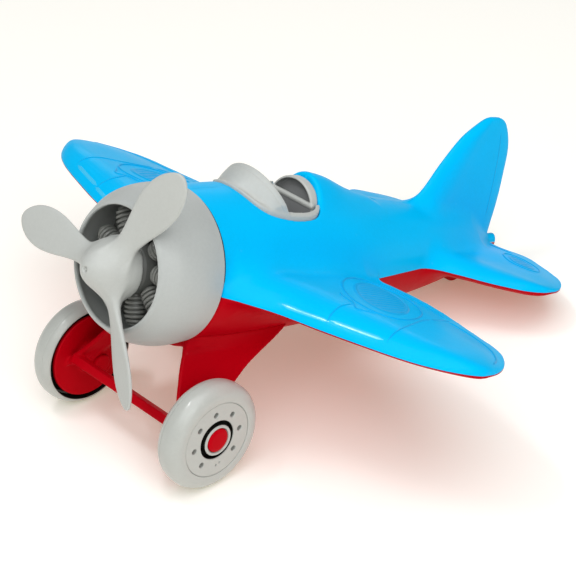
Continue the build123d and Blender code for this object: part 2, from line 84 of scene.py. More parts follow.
HULL = np.array([
    (0.0, 29.6, 29.6, -29.6), (16.0, 29.9, 30.0, -30.2), (36.0, 29.9, 29.9, -30.0), (60.0, 29.4, 28.4, -28.6),
    (84.0, 28.2, 24.8, -26.4), (108.0, 24.6, 21.4, -24.0), (132.0, 20.6, 18.6, -20.9), (156.0, 15.4, 14.2, -17.2),
    (178.0, 8.6, 8.6, -11.6), (192.0, 2.6, 1.8, -4.4)])
WING = np.array([
    (16.0, 0.4, 88.0, 10.4, 7.2), (31.0, 2.2, 87.6, 9.6, 5.2), (45.0, 8.6, 88.0, 9.0, 2.9), (62.0, 13.6, 86.2, 8.4, 2.3),
    (80.0, 18.8, 81.4, 7.6, 2.2), (95.0, 23.8, 77.0, 6.7, 2.1), (105.0, 28.6, 73.3, 5.9, 1.9), (112.0, 33.9, 67.6, 4.9, 1.7),
    (116.6, 38.8, 61.6, 3.8, 1.5), (119.3, 43.0, 55.6, 2.6, 1.2), (120.5, 46.8, 50.4, 1.0, 0.7)])
TAIL = np.array([
    (0.0, 117.0, 192.6, 5.8, 5.0), (9.0, 121.0, 191.6, 5.6, 4.6), (20.0, 126.8, 195.6, 5.2, 3.8), (30.0, 135.4, 194.4, 4.6, 3.2),
    (40.0, 141.6, 190.2, 4.1, 2.8), (49.0, 148.2, 185.2, 3.6, 2.4), (55.0, 154.2, 178.6, 3.0, 2.0), (58.0, 160.2, 172.6, 2.1, 1.4),
    (59.0, 164.4, 168.4, 1.0, 0.7)])
FIN = np.array([
    (-1.2, 110.0, 192.2, 5.0), (6.0, 117.0, 192.3, 4.8), (14.0, 127.0, 192.5, 4.4), (22.0, 136.6, 192.4, 4.0), (32.0, 143.6, 191.5, 3.6),
    (41.0, 149.8, 190.4, 3.2), (48.0, 155.8, 187.8, 2.8), (53.0, 162.8, 184.6, 2.3), (56.0, 168.0, 181.0, 1.6), (57.2, 172.4, 176.6, 0.8)])
FAIRING = np.array([(63.3, 14.4, 34.8), (72.0, 13.4, 33.0), (88.0, 10.4, 27.2), (104.0, 6.6, 22.2)])
OPENING = [(0.0, 22.3), (6.0, 22.9), (12.0, 25.0), (14.6, 27.4), (16.8, 32.0), (17.9, 37.0),
           (18.5, 42.0), (18.6, 47.5), (18.2, 52.0), (16.6, 57.0), (13.6, 60.3), (9.0, 62.2), (0.0, 63.0)]
HOOD = np.array([(21.6, 6.0, 29.4), (24.0, 10.6, 31.7), (28.0, 15.4, 35.5), (32.0, 18.4, 38.9), (36.0, 19.7, 41.4), (42.0, 20.2, 43.4)])


# ------------------------------------------------------------------ curves and distances
def cubic(xs, ys, d0=None, d1=None):
    """Natural or clamped cubic spline through the points; returns a function of x."""
    xs, ys = np.asarray(xs, float), np.asarray(ys, float)
    n = len(xs)
    hh = np.diff(xs)
    A = np.zeros((n, n))
    shape = (n,) + ys.shape[1:]
    b = np.zeros(shape)
    for i in range(1, n - 1):
        A[i, i - 1], A[i, i], A[i, i + 1] = hh[i - 1], 2 * (hh[i - 1] + hh[i]), hh[i]
        b[i] = 6 * ((ys[i + 1] - ys[i]) / hh[i] - (ys[i] - ys[i - 1]) / hh[i - 1])
    if d0 is None:
        A[0, 0] = 1
    else:
        A[0, 0], A[0, 1] = 2 * hh[0], hh[0]
        b[0] = 6 * ((ys[1] - ys[0]) / hh[0] - np.asarray(d0, float))
    if d1 is None:
        A[-1, -1] = 1
    else:
        A[-1, -1], A[-1, -2] = 2 * hh[-1], hh[-1]
        b[-1] = 6 * (np.asarray(d1, float) - (ys[-1] - ys[-2]) / hh[-1])
    M = np.linalg.solve(A, b.reshape(n, -1)).reshape(shape)

    def f(x):
        x = np.clip(np.asarray(x, float), xs[0], xs[-1])
        i = np.clip(np.searchsorted(xs, x) - 1, 0, n - 2)
        t, w = x - xs[i], hh[i]
        if ys.ndim > 1:
            t, w = t[..., None], w[..., None]
        a = (M[i + 1] - M[i]) / (6 * w)
        c = (ys[i + 1] - ys[i]) / w - w * (2 * M[i] + M[i + 1]) / 6
        return ys[i] + c * t + M[i] / 2 * t * t + a * t ** 3
    return f


def curve(points, start=None, end=None, per=10):
    """Smooth line through the points, with the given end directions."""
    p = np.array(points, float)
    t = np.concatenate([[0], np.cumsum(np.linalg.norm(np.diff(p, axis=0), axis=1))])
    f = cubic(t, p, start, end)
    u = np.concatenate([np.linspace(t[i], t[i + 1], per, endpoint=False) for i in range(len(t) - 1)] + [[t[-1]]])
    return f(u)


def poly_sdf(P, poly):
    """Signed distance of the points P (n, 2) to a closed polygon, negative inside."""
    a, b = poly, np.roll(poly, -1, axis=0)
    ab = b - a
    L = (ab ** 2).sum(1) + 1e-12
    out = np.empty(len(P), np.float32)
    for i in range(0, len(P), 20000):
        p = P[i:i + 20000]
        dx, dy = p[:, None, 0] - a[None, :, 0], p[:, None, 1] - a[None, :, 1]
        t = np.clip((dx * ab[:, 0] + dy * ab[:, 1]) / L, 0, 1)
        d = (dx - t * ab[:, 0]) ** 2 + (dy - t * ab[:, 1]) ** 2
        up = (a[None, :, 1] <= p[:, None, 1]) != (b[None, :, 1] <= p[:, None, 1])
        with np.errstate(divide="ignore", invalid="ignore"):
            xi = a[None, :, 0] + (p[:, None, 1] - a[None, :, 1]) * (ab[None, :, 0] / ab[None, :, 1])
        inside = (up & (p[:, None, 0] < xi)).sum(1) % 2 == 1
        r = np.sqrt(d.min(1))
        out[i:i + 20000] = np.where(inside, -r, r)
    return out


def smin(a, b, k):
    t = np.clip(0.5 + 0.5 * (b - a) / k, 0, 1)
    return b * (1 - t) + a * t - k * t * (1 - t)


def smax(a, b, k):
    return -smin(-a, -b, k)


def ell(x, y, a, b):
    """First-order distance to an ellipse."""
    e = np.sqrt((x / a) ** 2 + (y / b) ** 2) + 1e-6
    g = np.sqrt((x / a ** 2) ** 2 + (y / b ** 2) ** 2) / e + 1e-6
    return np.maximum((e - 1) / g, -np.minimum(a, b))


# ------------------------------------------------------------------ surfaces of a sampled field
def sample(F, p):
    q = np.clip(p, 0, np.array(F.shape) - 1.001)
    i = q.astype(int)
    f = q - i
    out = 0
    for dx in (0, 1):
        for dy in (0, 1):
            for dz in (0, 1):
                w = (f[:, 0] if dx else 1 - f[:, 0]) * (f[:, 1] if dy else 1 - f[:, 1]) * (f[:, 2] if dz else 1 - f[:, 2])
                out = out + w * F[i[:, 0] + dx, i[:, 1] + dy, i[:, 2] + dz]
    return out


def gradient(F, p, e=0.6):
    g = np.empty_like(p)
    for k in range(3):
        o = np.zeros(3); o[k] = e
        g[:, k] = (sample(F, p + o) - sample(F, p - o)) / (2 * e)
    return g


def nets(F, smooth=4):
    """Closed quad surface of F = 0 in grid units: one vertex per crossed cell, drawn onto the surface and evened out."""
    S = F < 0
    cnt = np.zeros(tuple(n - 1 for n in F.shape), np.int8)
    for dx in (0, 1):
        for dy in (0, 1):
            for dz in (0, 1):
                cnt += S[dx:S.shape[0] - 1 + dx, dy:S.shape[1] - 1 + dy, dz:S.shape[2] - 1 + dz]
    mask = (cnt > 0) & (cnt < 8)
    cells = np.argwhere(mask)
    idx = np.full(mask.shape, -1, np.int32)
    idx[mask] = np.arange(len(cells))
    acc, num = np.zeros((len(cells), 3)), np.zeros(len(cells))
    corners = [(x, y, z) for x in (0, 1) for y in (0, 1) for z in (0, 1)]
    for ca in corners:
        for k in range(3):
            if ca[k]:
                continue
            cb = list(ca); cb[k] = 1
            A, B = cells + ca, cells + cb
            fa, fb = F[A[:, 0], A[:, 1], A[:, 2]].astype(float), F[B[:, 0], B[:, 1], B[:, 2]].astype(float)
            c = (fa < 0) != (fb < 0)
            t = fa[c] / (fa[c] - fb[c])
            acc[c] += cells[c] + np.array(ca) + t[:, None] * (np.array(cb) - np.array(ca))
            num[c] += 1
    V = acc / num[:, None]
    Q = []
    for k in range(3):
        lo, hi = [slice(1, -1)] * 3, [slice(1, -1)] * 3
        lo[k], hi[k] = slice(0, -1), slice(1, None)
        a, b = S[tuple(lo)], S[tuple(hi)]
        e = np.argwhere(a != b)
        flip = a[e[:, 0], e[:, 1], e[:, 2]]
        off = np.ones(3, int); off[k] = 0
        e = e + off
        u, v = [m for m in range(3) if m != k]
        ring = []
        for du, dv in ((1, 1), (0, 1), (0, 0), (1, 0)):
            c = e.copy(); c[:, u] -= du; c[:, v] -= dv
            ring.append(idx[c[:, 0], c[:, 1], c[:, 2]])
        q = np.stack(ring, 1)
        if k == 1:
            flip = ~flip
        q[~flip] = q[~flip][:, ::-1]
        Q.append(q)
    Q = np.concatenate(Q)
    Q = Q[(Q >= 0).all(1)]
    edges = np.concatenate([Q[:, [0, 1]], Q[:, [1, 2]], Q[:, [2, 3]], Q[:, [3, 0]]])
    deg = np.bincount(edges.ravel(), minlength=len(V))
    for it in range(smooth + 2):
        d = sample(F, V)
        g = gradient(F, V)
        gg = np.maximum((g ** 2).sum(1), 0.02)
        V = V - np.clip(d / gg, -0.6, 0.6)[:, None] * g
        if it < smooth:
            m = np.stack([np.bincount(edges[:, 0], V[edges[:, 1], k], len(V)) + np.bincount(edges[:, 1], V[edges[:, 0], k], len(V)) for k in range(3)], 1)
            m = m / np.maximum(deg, 1)[:, None] - V
            n = g / np.sqrt(gg)[:, None]
            V = V + 0.5 * (m - (m * n).sum(1)[:, None] * n)
    return V, Q


def mirrored(V, Q):
    """The half with x >= 0, and which of its vertices lie on x = 0."""
    ok = V[:, 0] > -1e-3
    Q = Q[ok[Q].all(1)]
    used = np.unique(Q)
    new = np.full(len(V), -1); new[used] = np.arange(len(used))
    V, Q = V[used].copy(), new[Q]
    mid = np.abs(V[:, 0]) < 0.05
    return V, Q, mid


def make(name, V, faces, mat, body, smooth=True, scale=0.001, mark=None):
    me = bpy.data.meshes.new(name)
    V = np.asarray(V, float) * scale
    if isinstance(faces, np.ndarray):
        me.vertices.add(len(V)); me.vertices.foreach_set("co", V.astype(np.float32).ravel())
        n, w = faces.shape
        me.loops.add(n * w); me.loops.foreach_set("vertex_index", faces.astype(np.int32).ravel())
        me.polygons.add(n); me.polygons.foreach_set("loop_start", np.arange(0, n * w, w, dtype=np.int32))
        me.update(calc_edges=True)
    else:
        me.from_pydata([tuple(v) for v in V], [], [tuple(int(i) for i in f) for f in faces])
    me.validate()
    ob = bpy.data.objects.new(name, me)
    bpy.context.scene.collection.objects.link(ob)
    me.polygons.foreach_set("use_smooth", [smooth] * len(me.polygons))
    if mark:
        me.set_sharp_from_angle(angle=math.radians(mark))
    me.materials.append(mat)
    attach(ob, body)
    return ob


def lathe(profile, origin, axis, ref, segs=160, closed=True):
    """Points (a, r) of a closed profile turned about the axis: a along it, r from it."""
    p = np.array(profile, float)
    axis, ref = np.asarray(axis, float), np.asarray(ref, float)
    third = np.cross(axis, ref)
    ang = np.arange(segs) * 2 * math.pi / segs
    V, F, ring = [], [], []
    for a, r in p:
        if r < 1e-6:
            ring.append([len(V)] * segs); V.append(origin + axis * a)
        else:
            base = len(V)
            ring.append([base + i for i in range(segs)])
            for t in ang:
                V.append(origin + axis * a + r * (ref * math.cos(t) + third * math.sin(t)))
    n = len(p)
    for j in range(n if closed else n - 1):
        A, B = ring[j], ring[(j + 1) % n]
        for i in range(segs):
            k = (i + 1) % segs
            f = [A[i], A[k], B[k], B[i]]
            f = [f[m] for m in range(4) if f[m] != f[m - 1]]
            if len(f) > 2:
                F.append(f)
    return np.array(V), F


def rounded(points, radii):
    """Polyline with its corners rounded: points (a, r) and a radius for each."""
    P = [np.array(p, float) for p in points]
    n, out = len(P), []
    for i in range(n):
        r = radii[i] if isinstance(radii, (list, tuple)) else radii
        a, b, c = P[i - 1], P[i], P[(i + 1) % n]
        u, v = a - b, c - b
        lu, lv = np.linalg.norm(u), np.linalg.norm(v)
        if r <= 0 or lu < 1e-6 or lv < 1e-6:
            out.append(b); continue
        u, v = u / lu, v / lv
        ang = math.acos(max(-1, min(1, float(u @ v))))
        if ang > math.pi - 0.05:
            out.append(b); continue
        t = min(r / math.tan(ang / 2), 0.48 * lu, 0.48 * lv)
        for w in np.linspace(0, 1, 5):
            out.append((1 - w) ** 2 * (b + u * t) + 2 * w * (1 - w) * b + w * w * (b + v * t))
    return out


# ------------------------------------------------------------------ plastics
def plastic(name, colour, rough=0.34, vary=0.05, fine=0.5, sss=0.0, coat=0.0, wear=0.12, scale=1.0, sss_colour=None, spec=0.4):
    """Moulded plastic: faint colour drift, uneven polish, fine moulding texture, edges rubbed a little paler."""
    m = bpy.data.materials.new(name)
    m.use_nodes = True
    nt = m.node_tree
    nt.nodes.clear()
    N, L = nt.nodes.new, nt.links.new
    out, b = N("ShaderNodeOutputMaterial"), N("ShaderNodeBsdfPrincipled")
    L(b.outputs[0], out.inputs[0])
    tc = N("ShaderNodeTexCoord")

    def noise(size_mm, detail=3.0, rough_=0.55, seed=0.0):
        n = N("ShaderNodeTexNoise")
        n.noise_dimensions = "4D"
        n.inputs["W"].default_value = seed
        n.inputs["Scale"].default_value = 1000.0 / size_mm / scale
        n.inputs["Detail"].default_value = detail
        n.inputs["Roughness"].default_value = rough_
        L(tc.outputs["Object"], n.inputs["Vector"])
        return n.outputs["Fac"]

    def ranged(fac, lo, hi, a=0.3, c=0.7):
        r = N("ShaderNodeMapRange")
        r.inputs["From Min"].default_value, r.inputs["From Max"].default_value = a, c
        r.inputs["To Min"].default_value, r.inputs["To Max"].default_value = lo, hi
        L(fac, r.inputs["Value"])
        return r.outputs[0]

    def mix(fac, a, c, mode="MIX"):
        x = N("ShaderNodeMix")
        x.data_type, x.blend_type = "RGBA", mode
        if isinstance(fac, float):
            x.inputs[0].default_value = fac
        else:
            L(fac, x.inputs[0])
        for s, v in ((6, a), (7, c)):
            if isinstance(v, tuple):
                x.inputs[s].default_value = v
            else:
                L(v, x.inputs[s])
        return x.outputs[2]

    c = tuple(colour) + (1.0,)
    dark = tuple(v * 0.93 for v in colour) + (1.0,)
    pale = tuple(min(1.0, v * 1.07) for v in colour) + (1.0,)
    drift = mix(ranged(noise(38.0, 3.0, 0.5, 1.3), 0.0, 1.0), dark, c)
    speck = mix(ranged(noise(1.1, 2.0, 0.6, 4.1), 0.0, 0.35), drift, pale)
    geo = N("ShaderNodeNewGeometry")
    edge = ranged(geo.outputs["Pointiness"], 0.0, 1.0, 0.53, 0.62)
    breakup = N("ShaderNodeMath"); breakup.operation = "MULTIPLY"
    L(edge, breakup.inputs[0]); L(ranged(noise(2.4, 4.0, 0.7, 7.7), 0.1, wear, 0.35, 0.65), breakup.inputs[1])
    worn = tuple(min(1.0, v * 0.9 + 0.10) for v in colour) + (1.0,)
    L(mix(breakup.outputs[0], speck, worn), b.inputs["Base Color"])
    r1 = ranged(noise(16.0, 4.0, 0.6, 2.2), rough - vary, rough + vary)
    r2 = ranged(noise(0.9, 3.0, 0.6, 9.0), -vary * 0.5, vary * 0.5)
    add = N("ShaderNodeMath"); add.operation = "ADD"; L(r1, add.inputs[0]); L(r2, add.inputs[1])
    add2 = N("ShaderNodeMath"); add2.operation = "ADD"; L(add.outputs[0], add2.inputs[0]); L(breakup.outputs[0], add2.inputs[1])
    add2.use_clamp = True
    L(add2.outputs[0], b.inputs["Roughness"])
    h1 = N("ShaderNodeMath"); h1.operation = "MULTIPLY"; L(noise(0.55, 3.0, 0.6, 3.0), h1.inputs[0]); h1.inputs[1].default_value = 0.4
    h2 = N("ShaderNodeMath"); h2.operation = "ADD"; L(h1.outputs[0], h2.inputs[0]); L(noise(7.0, 2.0, 0.5, 5.0), h2.inputs[1])
    bump = N("ShaderNodeBump")
    bump.inputs["Strength"].default_value = 0.25 * fine
    bump.inputs["Distance"].default_value = 0.00012
    L(h2.outputs[0], bump.inputs["Height"])
    L(bump.outputs[0], b.inputs["Normal"])
    b.inputs["IOR"].default_value = 1.5
    b.inputs["Specular IOR Level"].default_value = spec
    if sss:
        b.inputs["Subsurface Weight"].default_value = sss
        b.inputs["Subsurface Radius"].default_value = sss_colour or (1.0, 1.0, 1.0)
        b.inputs["Subsurface Scale"].default_value = 0.0025
    if coat:
        b.inputs["Coat Weight"].default_value = coat
        b.inputs["Coat Roughness"].default_value = 0.10
    return m


def lin(r, g, b):
    return tuple((v / 255 / 12.92) if v / 255 <= 0.04045 else ((v / 255 + 0.055) / 1.055) ** 2.4 for v in (r, g, b))


BLUE = plastic("blue_plastic", (0.0, 0.50, 0.93), rough=0.34, vary=0.05, fine=0.5, wear=0.10, spec=0.02, coat=0.04)
RED = plastic("red_plastic", (0.47, 0.0, 0.006), rough=0.38, vary=0.05, fine=0.6, wear=0.10, spec=0.03)
# paler, glossier blue for thin strips along the leading edge: the paler colour is a painted highlight, the gloss
# catches the lamps
HIGHLIGHT_BLUE = plastic("blue_polished_edge", (0.03, 0.56, 0.93), rough=0.24, vary=0.04, fine=0.4, wear=0.10, spec=0.65, coat=0.5)
# darker blue for the raised lines and badges: painted shade along the relief
RELIEF_SHADE_BLUE = plastic("blue_relief", (0.0, 0.40, 0.80), rough=0.36, vary=0.05, fine=0.5, wear=0.12, spec=0.05)
COWL = plastic("cowl_plastic", (0.44, 0.46, 0.445), rough=0.44, vary=0.05, fine=0.7, wear=0.15)
GREY = plastic("grey_plastic", (0.485, 0.50, 0.475), rough=0.44, vary=0.05, fine=0.7, wear=0.15)
WHEEL = plastic("wheel_plastic", (0.455, 0.47, 0.44), rough=0.34, vary=0.05, fine=0.6, wear=0.15, coat=0.35)
# dark grey for the cylinders and the hub dimple floors: painted shade of the cavity inside the cowl and of the dimples
RECESS_SHADE_GREY = plastic("engine_plastic", (0.26, 0.265, 0.245), rough=0.30, vary=0.06, fine=0.6, wear=0.25, coat=0.4)
# darkest grey for the crankcase at the back of the cowl: painted shade
CRANK_SHADE = plastic("crankcase_plastic", (0.15, 0.155, 0.145), rough=0.40, vary=0.06, fine=0.8, wear=0.15)
# dark grey for the cockpit tub, the seat dish and the seat front: painted shade inside the cockpit
COCKPIT_SHADE = plastic("seat_plastic", (0.20, 0.205, 0.207), rough=0.45, vary=0.06, fine=0.8, wear=0.15)
# near black for the bottoms of seams and gaps: painted shade
GAP_SHADE = plastic("axle_gap", (0.008, 0.008, 0.006), rough=0.6, vary=0.05, fine=0.6, wear=0.05, spec=0.1)
STEEL = plastic("steel_pin", (0.45, 0.45, 0.46), rough=0.3, vary=0.08, fine=0.8, wear=0.2)
STEEL.node_tree.nodes["Principled BSDF"].inputs["Metallic"].default_value = 1.0


# ------------------------------------------------------------------ field pieces shared by the shells
hull_f = cubic(HULL[:, 0], HULL[:, 1:])


def tipped(table, end):
    u = np.sqrt(np.maximum(1 - table[:, 0] / end, 0))[::-1]
    f = cubic(u, table[::-1, 1:])
    return lambda x: f(np.sqrt(np.maximum(1 - x / end, 0)))


wing_f, tail_f = tipped(WING, 120.7), tipped(TAIL, 59.15)
fin_rows = FIN.copy(); fin_rows[:, 0] += 10
fin_u = np.sqrt(1 - fin_rows[:, 0] / 67.35)[::-1]
fin_c = cubic(fin_u, fin_rows[::-1, 1:])


def foil(x, le, te, up, down):
    p, c = float(parting(x)), te - le
    edge = min(0.75, 0.6 * down)
    over = [(le + 0.035 * c, p + 0.50 * up), (le + 0.32 * c, p + up), (le + 0.68 * c, p + 0.66 * up)]
    under = [(le + 0.68 * c, p - 0.74 * down), (le + 0.34 * c, p - down), (le + 0.045 * c, p - 0.55 * down)]
    top = curve([(le, p)] + over + [(te, p + edge)], (0, 0.6), (1, -0.10), 9)
    low = curve([(te, p - edge)] + under + [(le, p)], (-1, -0.06), (0, 0.6), 9)
    return np.concatenate([top, low[:-1]])


def hull_d(x, s, h):
    w, top, bot = [hull_f(s)[..., k] for k in range(3)]
    y = h - PART_H
    return ell(x, y, w, np.where(y > 0, top - PART_H, PART_H - bot))


opening_poly = curve(OPENING, (1, 0), (-1, 0), 6)
opening_poly = np.concatenate([opening_poly, opening_poly[-2:0:-1] * [-1, 1]])


# ------------------------------------------------------------------ both shells: one smooth body, then cut at the parting line
def shell_body(G=0.5):
    xs, ss, hs = np.arange(-0.75, 121.8, G), np.arange(-1.5, 198.0, G), np.arange(-34.0, 58.8, G)
    S2, H2 = np.meshgrid(ss, hs, indexing="ij")
    Y2 = NOSE[1] + S2 * CP + H2 * SP
    Z2 = NOSE[2] - S2 * SP + H2 * CP
    F = np.empty((len(xs), len(ss), len(hs)), np.float32)
    w, top, bot = [hull_f(ss)[:, k][:, None] for k in range(3)]
    ry = H2 - PART_H
    rb = np.where(ry > 0, top - PART_H, PART_H - bot)
    ftab = cubic(FAIRING[:, 0], FAIRING[:, 1:])(ss)
    fw, ft = ftab[:, 0][:, None], ftab[:, 1][:, None]
    nf = int((xs < 15).sum())
    fin = np.full((nf, len(ss), len(hs)), 15.0, np.float32)
    for k, h in enumerate(hs):
        if not -1.2 <= h <= 57.25:
            continue
        le, te, t = fin_c(math.sqrt(max(0.0, 1 - (h + 10) / 67.35)))
        c = te - le
        side = curve([(0, le), (0.62 * t, le + 0.06 * c), (t, le + 0.34 * c), (0.72 * t, le + 0.72 * c), (0, te)], (0.6, 0), (-0.35, 0), 8)
        poly = np.concatenate([side, side[-2:0:-1] * [-1, 1]])
        j = (ss > le - 12) & (ss < te + 12)
        P = np.stack(np.meshgrid(np.abs(xs[:nf]), ss[j], indexing="ij"), -1).reshape(-1, 2)
        fin[:, j, k] = poly_sdf(P, poly).reshape(nf, -1)

    def section(x, f, x0, x1, out):
        if not x0 <= x <= x1:
            return
        le, te, up, down = f(x)
        poly = foil(x, le, te, up, down)
        p = float(parting(x))
        j, k = (ss > le - 12) & (ss < te + 12), (hs > p - down - 11) & (hs < p + up + 11)
        P = np.stack([S2[j][:, k].ravel(), H2[j][:, k].ravel()], 1)
        out[np.ix_(j, k)] = poly_sdf(P, poly).reshape(j.sum(), k.sum())

    P = np.stack(np.meshgrid(np.abs(xs[xs < 24]), ss, indexing="ij"), -1).reshape(-1, 2)
    hole = np.full((len(xs), len(ss)), 15.0, np.float32)
    hole[:(xs < 24).sum()] = poly_sdf(P, opening_poly).reshape(-1, len(ss))
    kw = np.interp(ss, [0, 8, 78, 90], [5.0, 9.0, 9.0, 4.0])[:, None]
    kt = np.interp(ss, [176, 186, 191], [7.0, 3.0, 1.0])[:, None]
    kf = np.interp(ss, [172, 183, 189], [6.0, 2.4, 0.8])[:, None]
    for i, x in enumerate(np.abs(xs)):
        d = ell(x, ry, w, rb).astype(np.float32) if x < 45 else np.full(S2.shape, 15.0, np.float32)
        a = np.full(S2.shape, 15.0, np.float32); section(x, wing_f, 16.0, 120.62, a)
        b = np.full(S2.shape, 15.0, np.float32); section(x, tail_f, 0.0, 59.1, b)
        d = smin(d, a, kw)
        d = smin(d, b, kt)
        if i < nf:
            d = smin(d, fin[i], kf)
        if x < 26:
            f = smax(smax(ell(x, H2 - 12.0, fw, np.maximum(ft - 12.0, 1)), 63.3 - S2, 2.4), S2 - 104.0, 3.0)
            d = smin(d, f, 4.0)
            d = smax(d, -smax(hole[i][:, None] + 0 * H2, 4.0 - H2, 1.0), 1.0)
        if x < 16:
            t = np.clip(Z2 / 9.5, 0, 1.4)
            k = smax(np.abs(x) - (4 + 2 * t), np.abs(Y2 - (AXLE_Y + 178 - 2 * t)) - (6 + 4 * t), 2.5)
            k = smax(smax(k, -Z2, 0.8), Z2 - 12.0, 1.0)
            d = smin(d, k, 3.0)
        F[i] = smax(smax(d, 0.35 - S2, 0.9), 0.15 - Z2, 0.3)
    V, Q = nets(F)
    V = V * G + np.array([xs[0], ss[0], hs[0]])
    V[:, 0] = np.clip(V[:, 0], -9, 120.45)
    V, Q, mid = mirrored(V, Q)
    V[mid, 0] = 0.0
    # where the surface lies above each (x, s), and beside each (s, h) of the fin
    last = np.where((F < 0).any(2), F.shape[2] - 1 - np.argmax((F < 0)[:, :, ::-1], axis=2), 0)
    last = np.minimum(last, F.shape[2] - 2)
    f0 = np.take_along_axis(F, last[..., None], 2)[..., 0]
    f1 = np.take_along_axis(F, last[..., None] + 1, 2)[..., 0]
    above = hs[last] + G * np.clip(f0 / (f0 - f1 + 1e-9), 0, 1)
    N = F[:30]
    far = np.where((N < 0).any(0), N.shape[0] - 1 - np.argmax((N < 0)[::-1], axis=0), 0)
    far = np.minimum(far, N.shape[0] - 2)
    f0 = np.take_along_axis(N, far[None], 0)[0]
    f1 = np.take_along_axis(N, far[None] + 1, 0)[0]
    beside = xs[far] + G * np.clip(f0 / (f0 - f1 + 1e-9), 0, 1)
    return V, Q, (xs, ss, hs, above, beside)


def split(V, Q):
    """Cut the half body at the parting line: upper and lower faces, and the vertices on the cut."""
    V = V.copy()
    g = V[:, 2] - parting(V[:, 0])
    near = np.abs(g) < 0.1
    V[near, 2] -= g[near]; g[near] = 0
    up, dn = (g[Q] >= 0).all(1), (g[Q] <= 0).all(1) & ~(g[Q] >= 0).all(1)
    U, D = [list(q) for q in Q[up]], [list(q) for q in Q[dn]]
    new, extra = {}, []
    for q in Q[~up & ~dn]:
        hi, lo = [], []
        for m in range(4):
            a, b = int(q[m]), int(q[(m + 1) % 4])
            if g[a] >= 0:
                hi.append(a)
            if g[a] <= 0:
                lo.append(a)
            if g[a] * g[b] < 0:
                key = (min(a, b), max(a, b))
                if key not in new:
                    t = g[a] / (g[a] - g[b])
                    new[key] = len(V) + len(extra)
                    extra.append(V[a] + t * (V[b] - V[a]))
                hi.append(new[key]); lo.append(new[key])
        if len(hi) > 2:
            U.append(hi)
        if len(lo) > 2:
            D.append(lo)
    V = np.concatenate([V, np.array(extra)]) if extra else V
    return V, U, D


def whole(V, faces, keep=None):
    """Both halves of a mesh that was made for x >= 0."""
    used = sorted({i for f in faces for i in f})
    new = {u: i for i, u in enumerate(used)}
    W = V[used]
    mid = np.abs(W[:, 0]) < 1e-6
    back = np.arange(len(W)) + len(W)
    back[mid] = np.arange(len(W))[mid]
    order = np.full(2 * len(W), -1)
    M = W * np.array([-1, 1, 1])
    A = [[new[i] for i in f] for f in faces]
    B = [[int(back[i]) for i in f[::-1]] for f in A]
    allV = np.concatenate([W, M])
    ref = np.zeros(len(allV), bool)
    for f in B:
        ref[f] = True
    ref[:len(W)] = True
    remap = np.cumsum(ref) - 1
    return allV[ref], A + [[int(remap[i]) for i in f] for f in B]


def cap(V, faces):
    """The open loops of a mesh, each given as a list of its vertices in order."""
    cnt = {}
    for f in faces:
        for a, b in zip(f, f[1:] + f[:1]):
            cnt[(a, b)] = cnt.get((a, b), 0) + 1
    nxt = {b: a for (a, b) in cnt if (b, a) not in cnt}
    out = []
    while nxt:
        start = next(iter(nxt)); loop = [start]; cur = nxt.pop(start)
        while cur != start and cur in nxt:
            loop.append(cur); cur = nxt.pop(cur)
        out.append(loop)
    return out


def finish_shell(name, V, faces, mat, up, replaced):
    W, Fc = whole(V, faces)
    loops = cap(W, Fc)
    rim = np.array(sorted({i for l in loops for i in l}))
    # the joint faces follow the bent parting plane: the rim and a grid of points inside it, triangulated together
    for loop in loops:
        if len(loop) < 3:
            continue
        if len(loop) < 400:
            Fc.append(loop)
            continue
        edge = W[loop][:, :2]
        lo, hi = edge.min(0), edge.max(0)
        gx, gs = np.meshgrid(np.arange(math.ceil(lo[0] / 5) * 5, hi[0], 5.0), np.arange(math.ceil(lo[1] / 5) * 5, hi[1], 5.0), indexing="ij")
        g = np.stack([gx.ravel(), gs.ravel()], 1)
        g = g[poly_sdf(g, edge) < -1.5]
        n = len(loop)
        coords = [Vector((float(a), float(b))) for a, b in np.concatenate([edge, g])]
        vc, _, fc, ov, _, _ = delaunay_2d_cdt(coords, [(i, (i + 1) % n) for i in range(n)], [], 1, 1e-6)
        ids, extra = [], []
        for v, o in zip(vc, ov):
            first = min(o) if o else n
            if first < n:
                ids.append(int(loop[first]))
            else:
                ids.append(len(W) + len(extra)); extra.append((v.x, v.y, float(parting(v.x))))
        if extra:
            rim = np.concatenate([rim, np.arange(len(W), len(W) + len(extra))])
            W = np.concatenate([W, np.array(extra)])
        for f in fc:
            q = [ids[i] for i in f]
            if len(set(q)) == len(q):
                Fc.append(q)
    # the two edges of the joint are very slightly rounded away from each other
    W = W.copy()
    W[rim, 2] += 0.05 if up else -0.05
    ob = make(name, to_row(W), Fc, mat, "airframe", mark=None)
    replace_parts(ob, replaced)
    return ob, W


bodyV, bodyQ, maps = shell_body()
cutV, upF, dnF = split(bodyV, bodyQ)
finish_shell("upper_shell_skin", cutV, upF, BLUE, True, "upper_shell")
finish_shell("lower_shell_skin", cutV, dnF, RED, False, "lower_shell")


# ------------------------------------------------------------------ raised lines and oval badges of the blue shell
def lookup(table, us, vs, u, v):
    a = np.clip((u - us[0]) / (us[1] - us[0]), 0, len(us) - 1.001)
    b = np.clip((v - vs[0]) / (vs[1] - vs[0]), 0, len(vs) - 1.001)
    i, j = a.astype(int), b.astype(int)
    a, b = a - i, b - j
    return table[i, j] * (1 - a) * (1 - b) + table[i + 1, j] * a * (1 - b) + table[i, j + 1] * (1 - a) * b + table[i + 1, j + 1] * a * b


def on_top(u, v):
    """Point and outward direction of the upper surface at (x, s)."""
    xs, ss, hs, above, beside = maps
    f = lambda a, b: lookup(above, xs, ss, a, b)
    e = 0.8
    n = np.stack([-(f(u + e, v) - f(u - e, v)) / (2 * e), -(f(u, v + e) - f(u, v - e)) / (2 * e), np.ones_like(u)], -1)
    return np.stack([u, v, f(u, v)], -1), n / np.linalg.norm(n, axis=-1, keepdims=True)


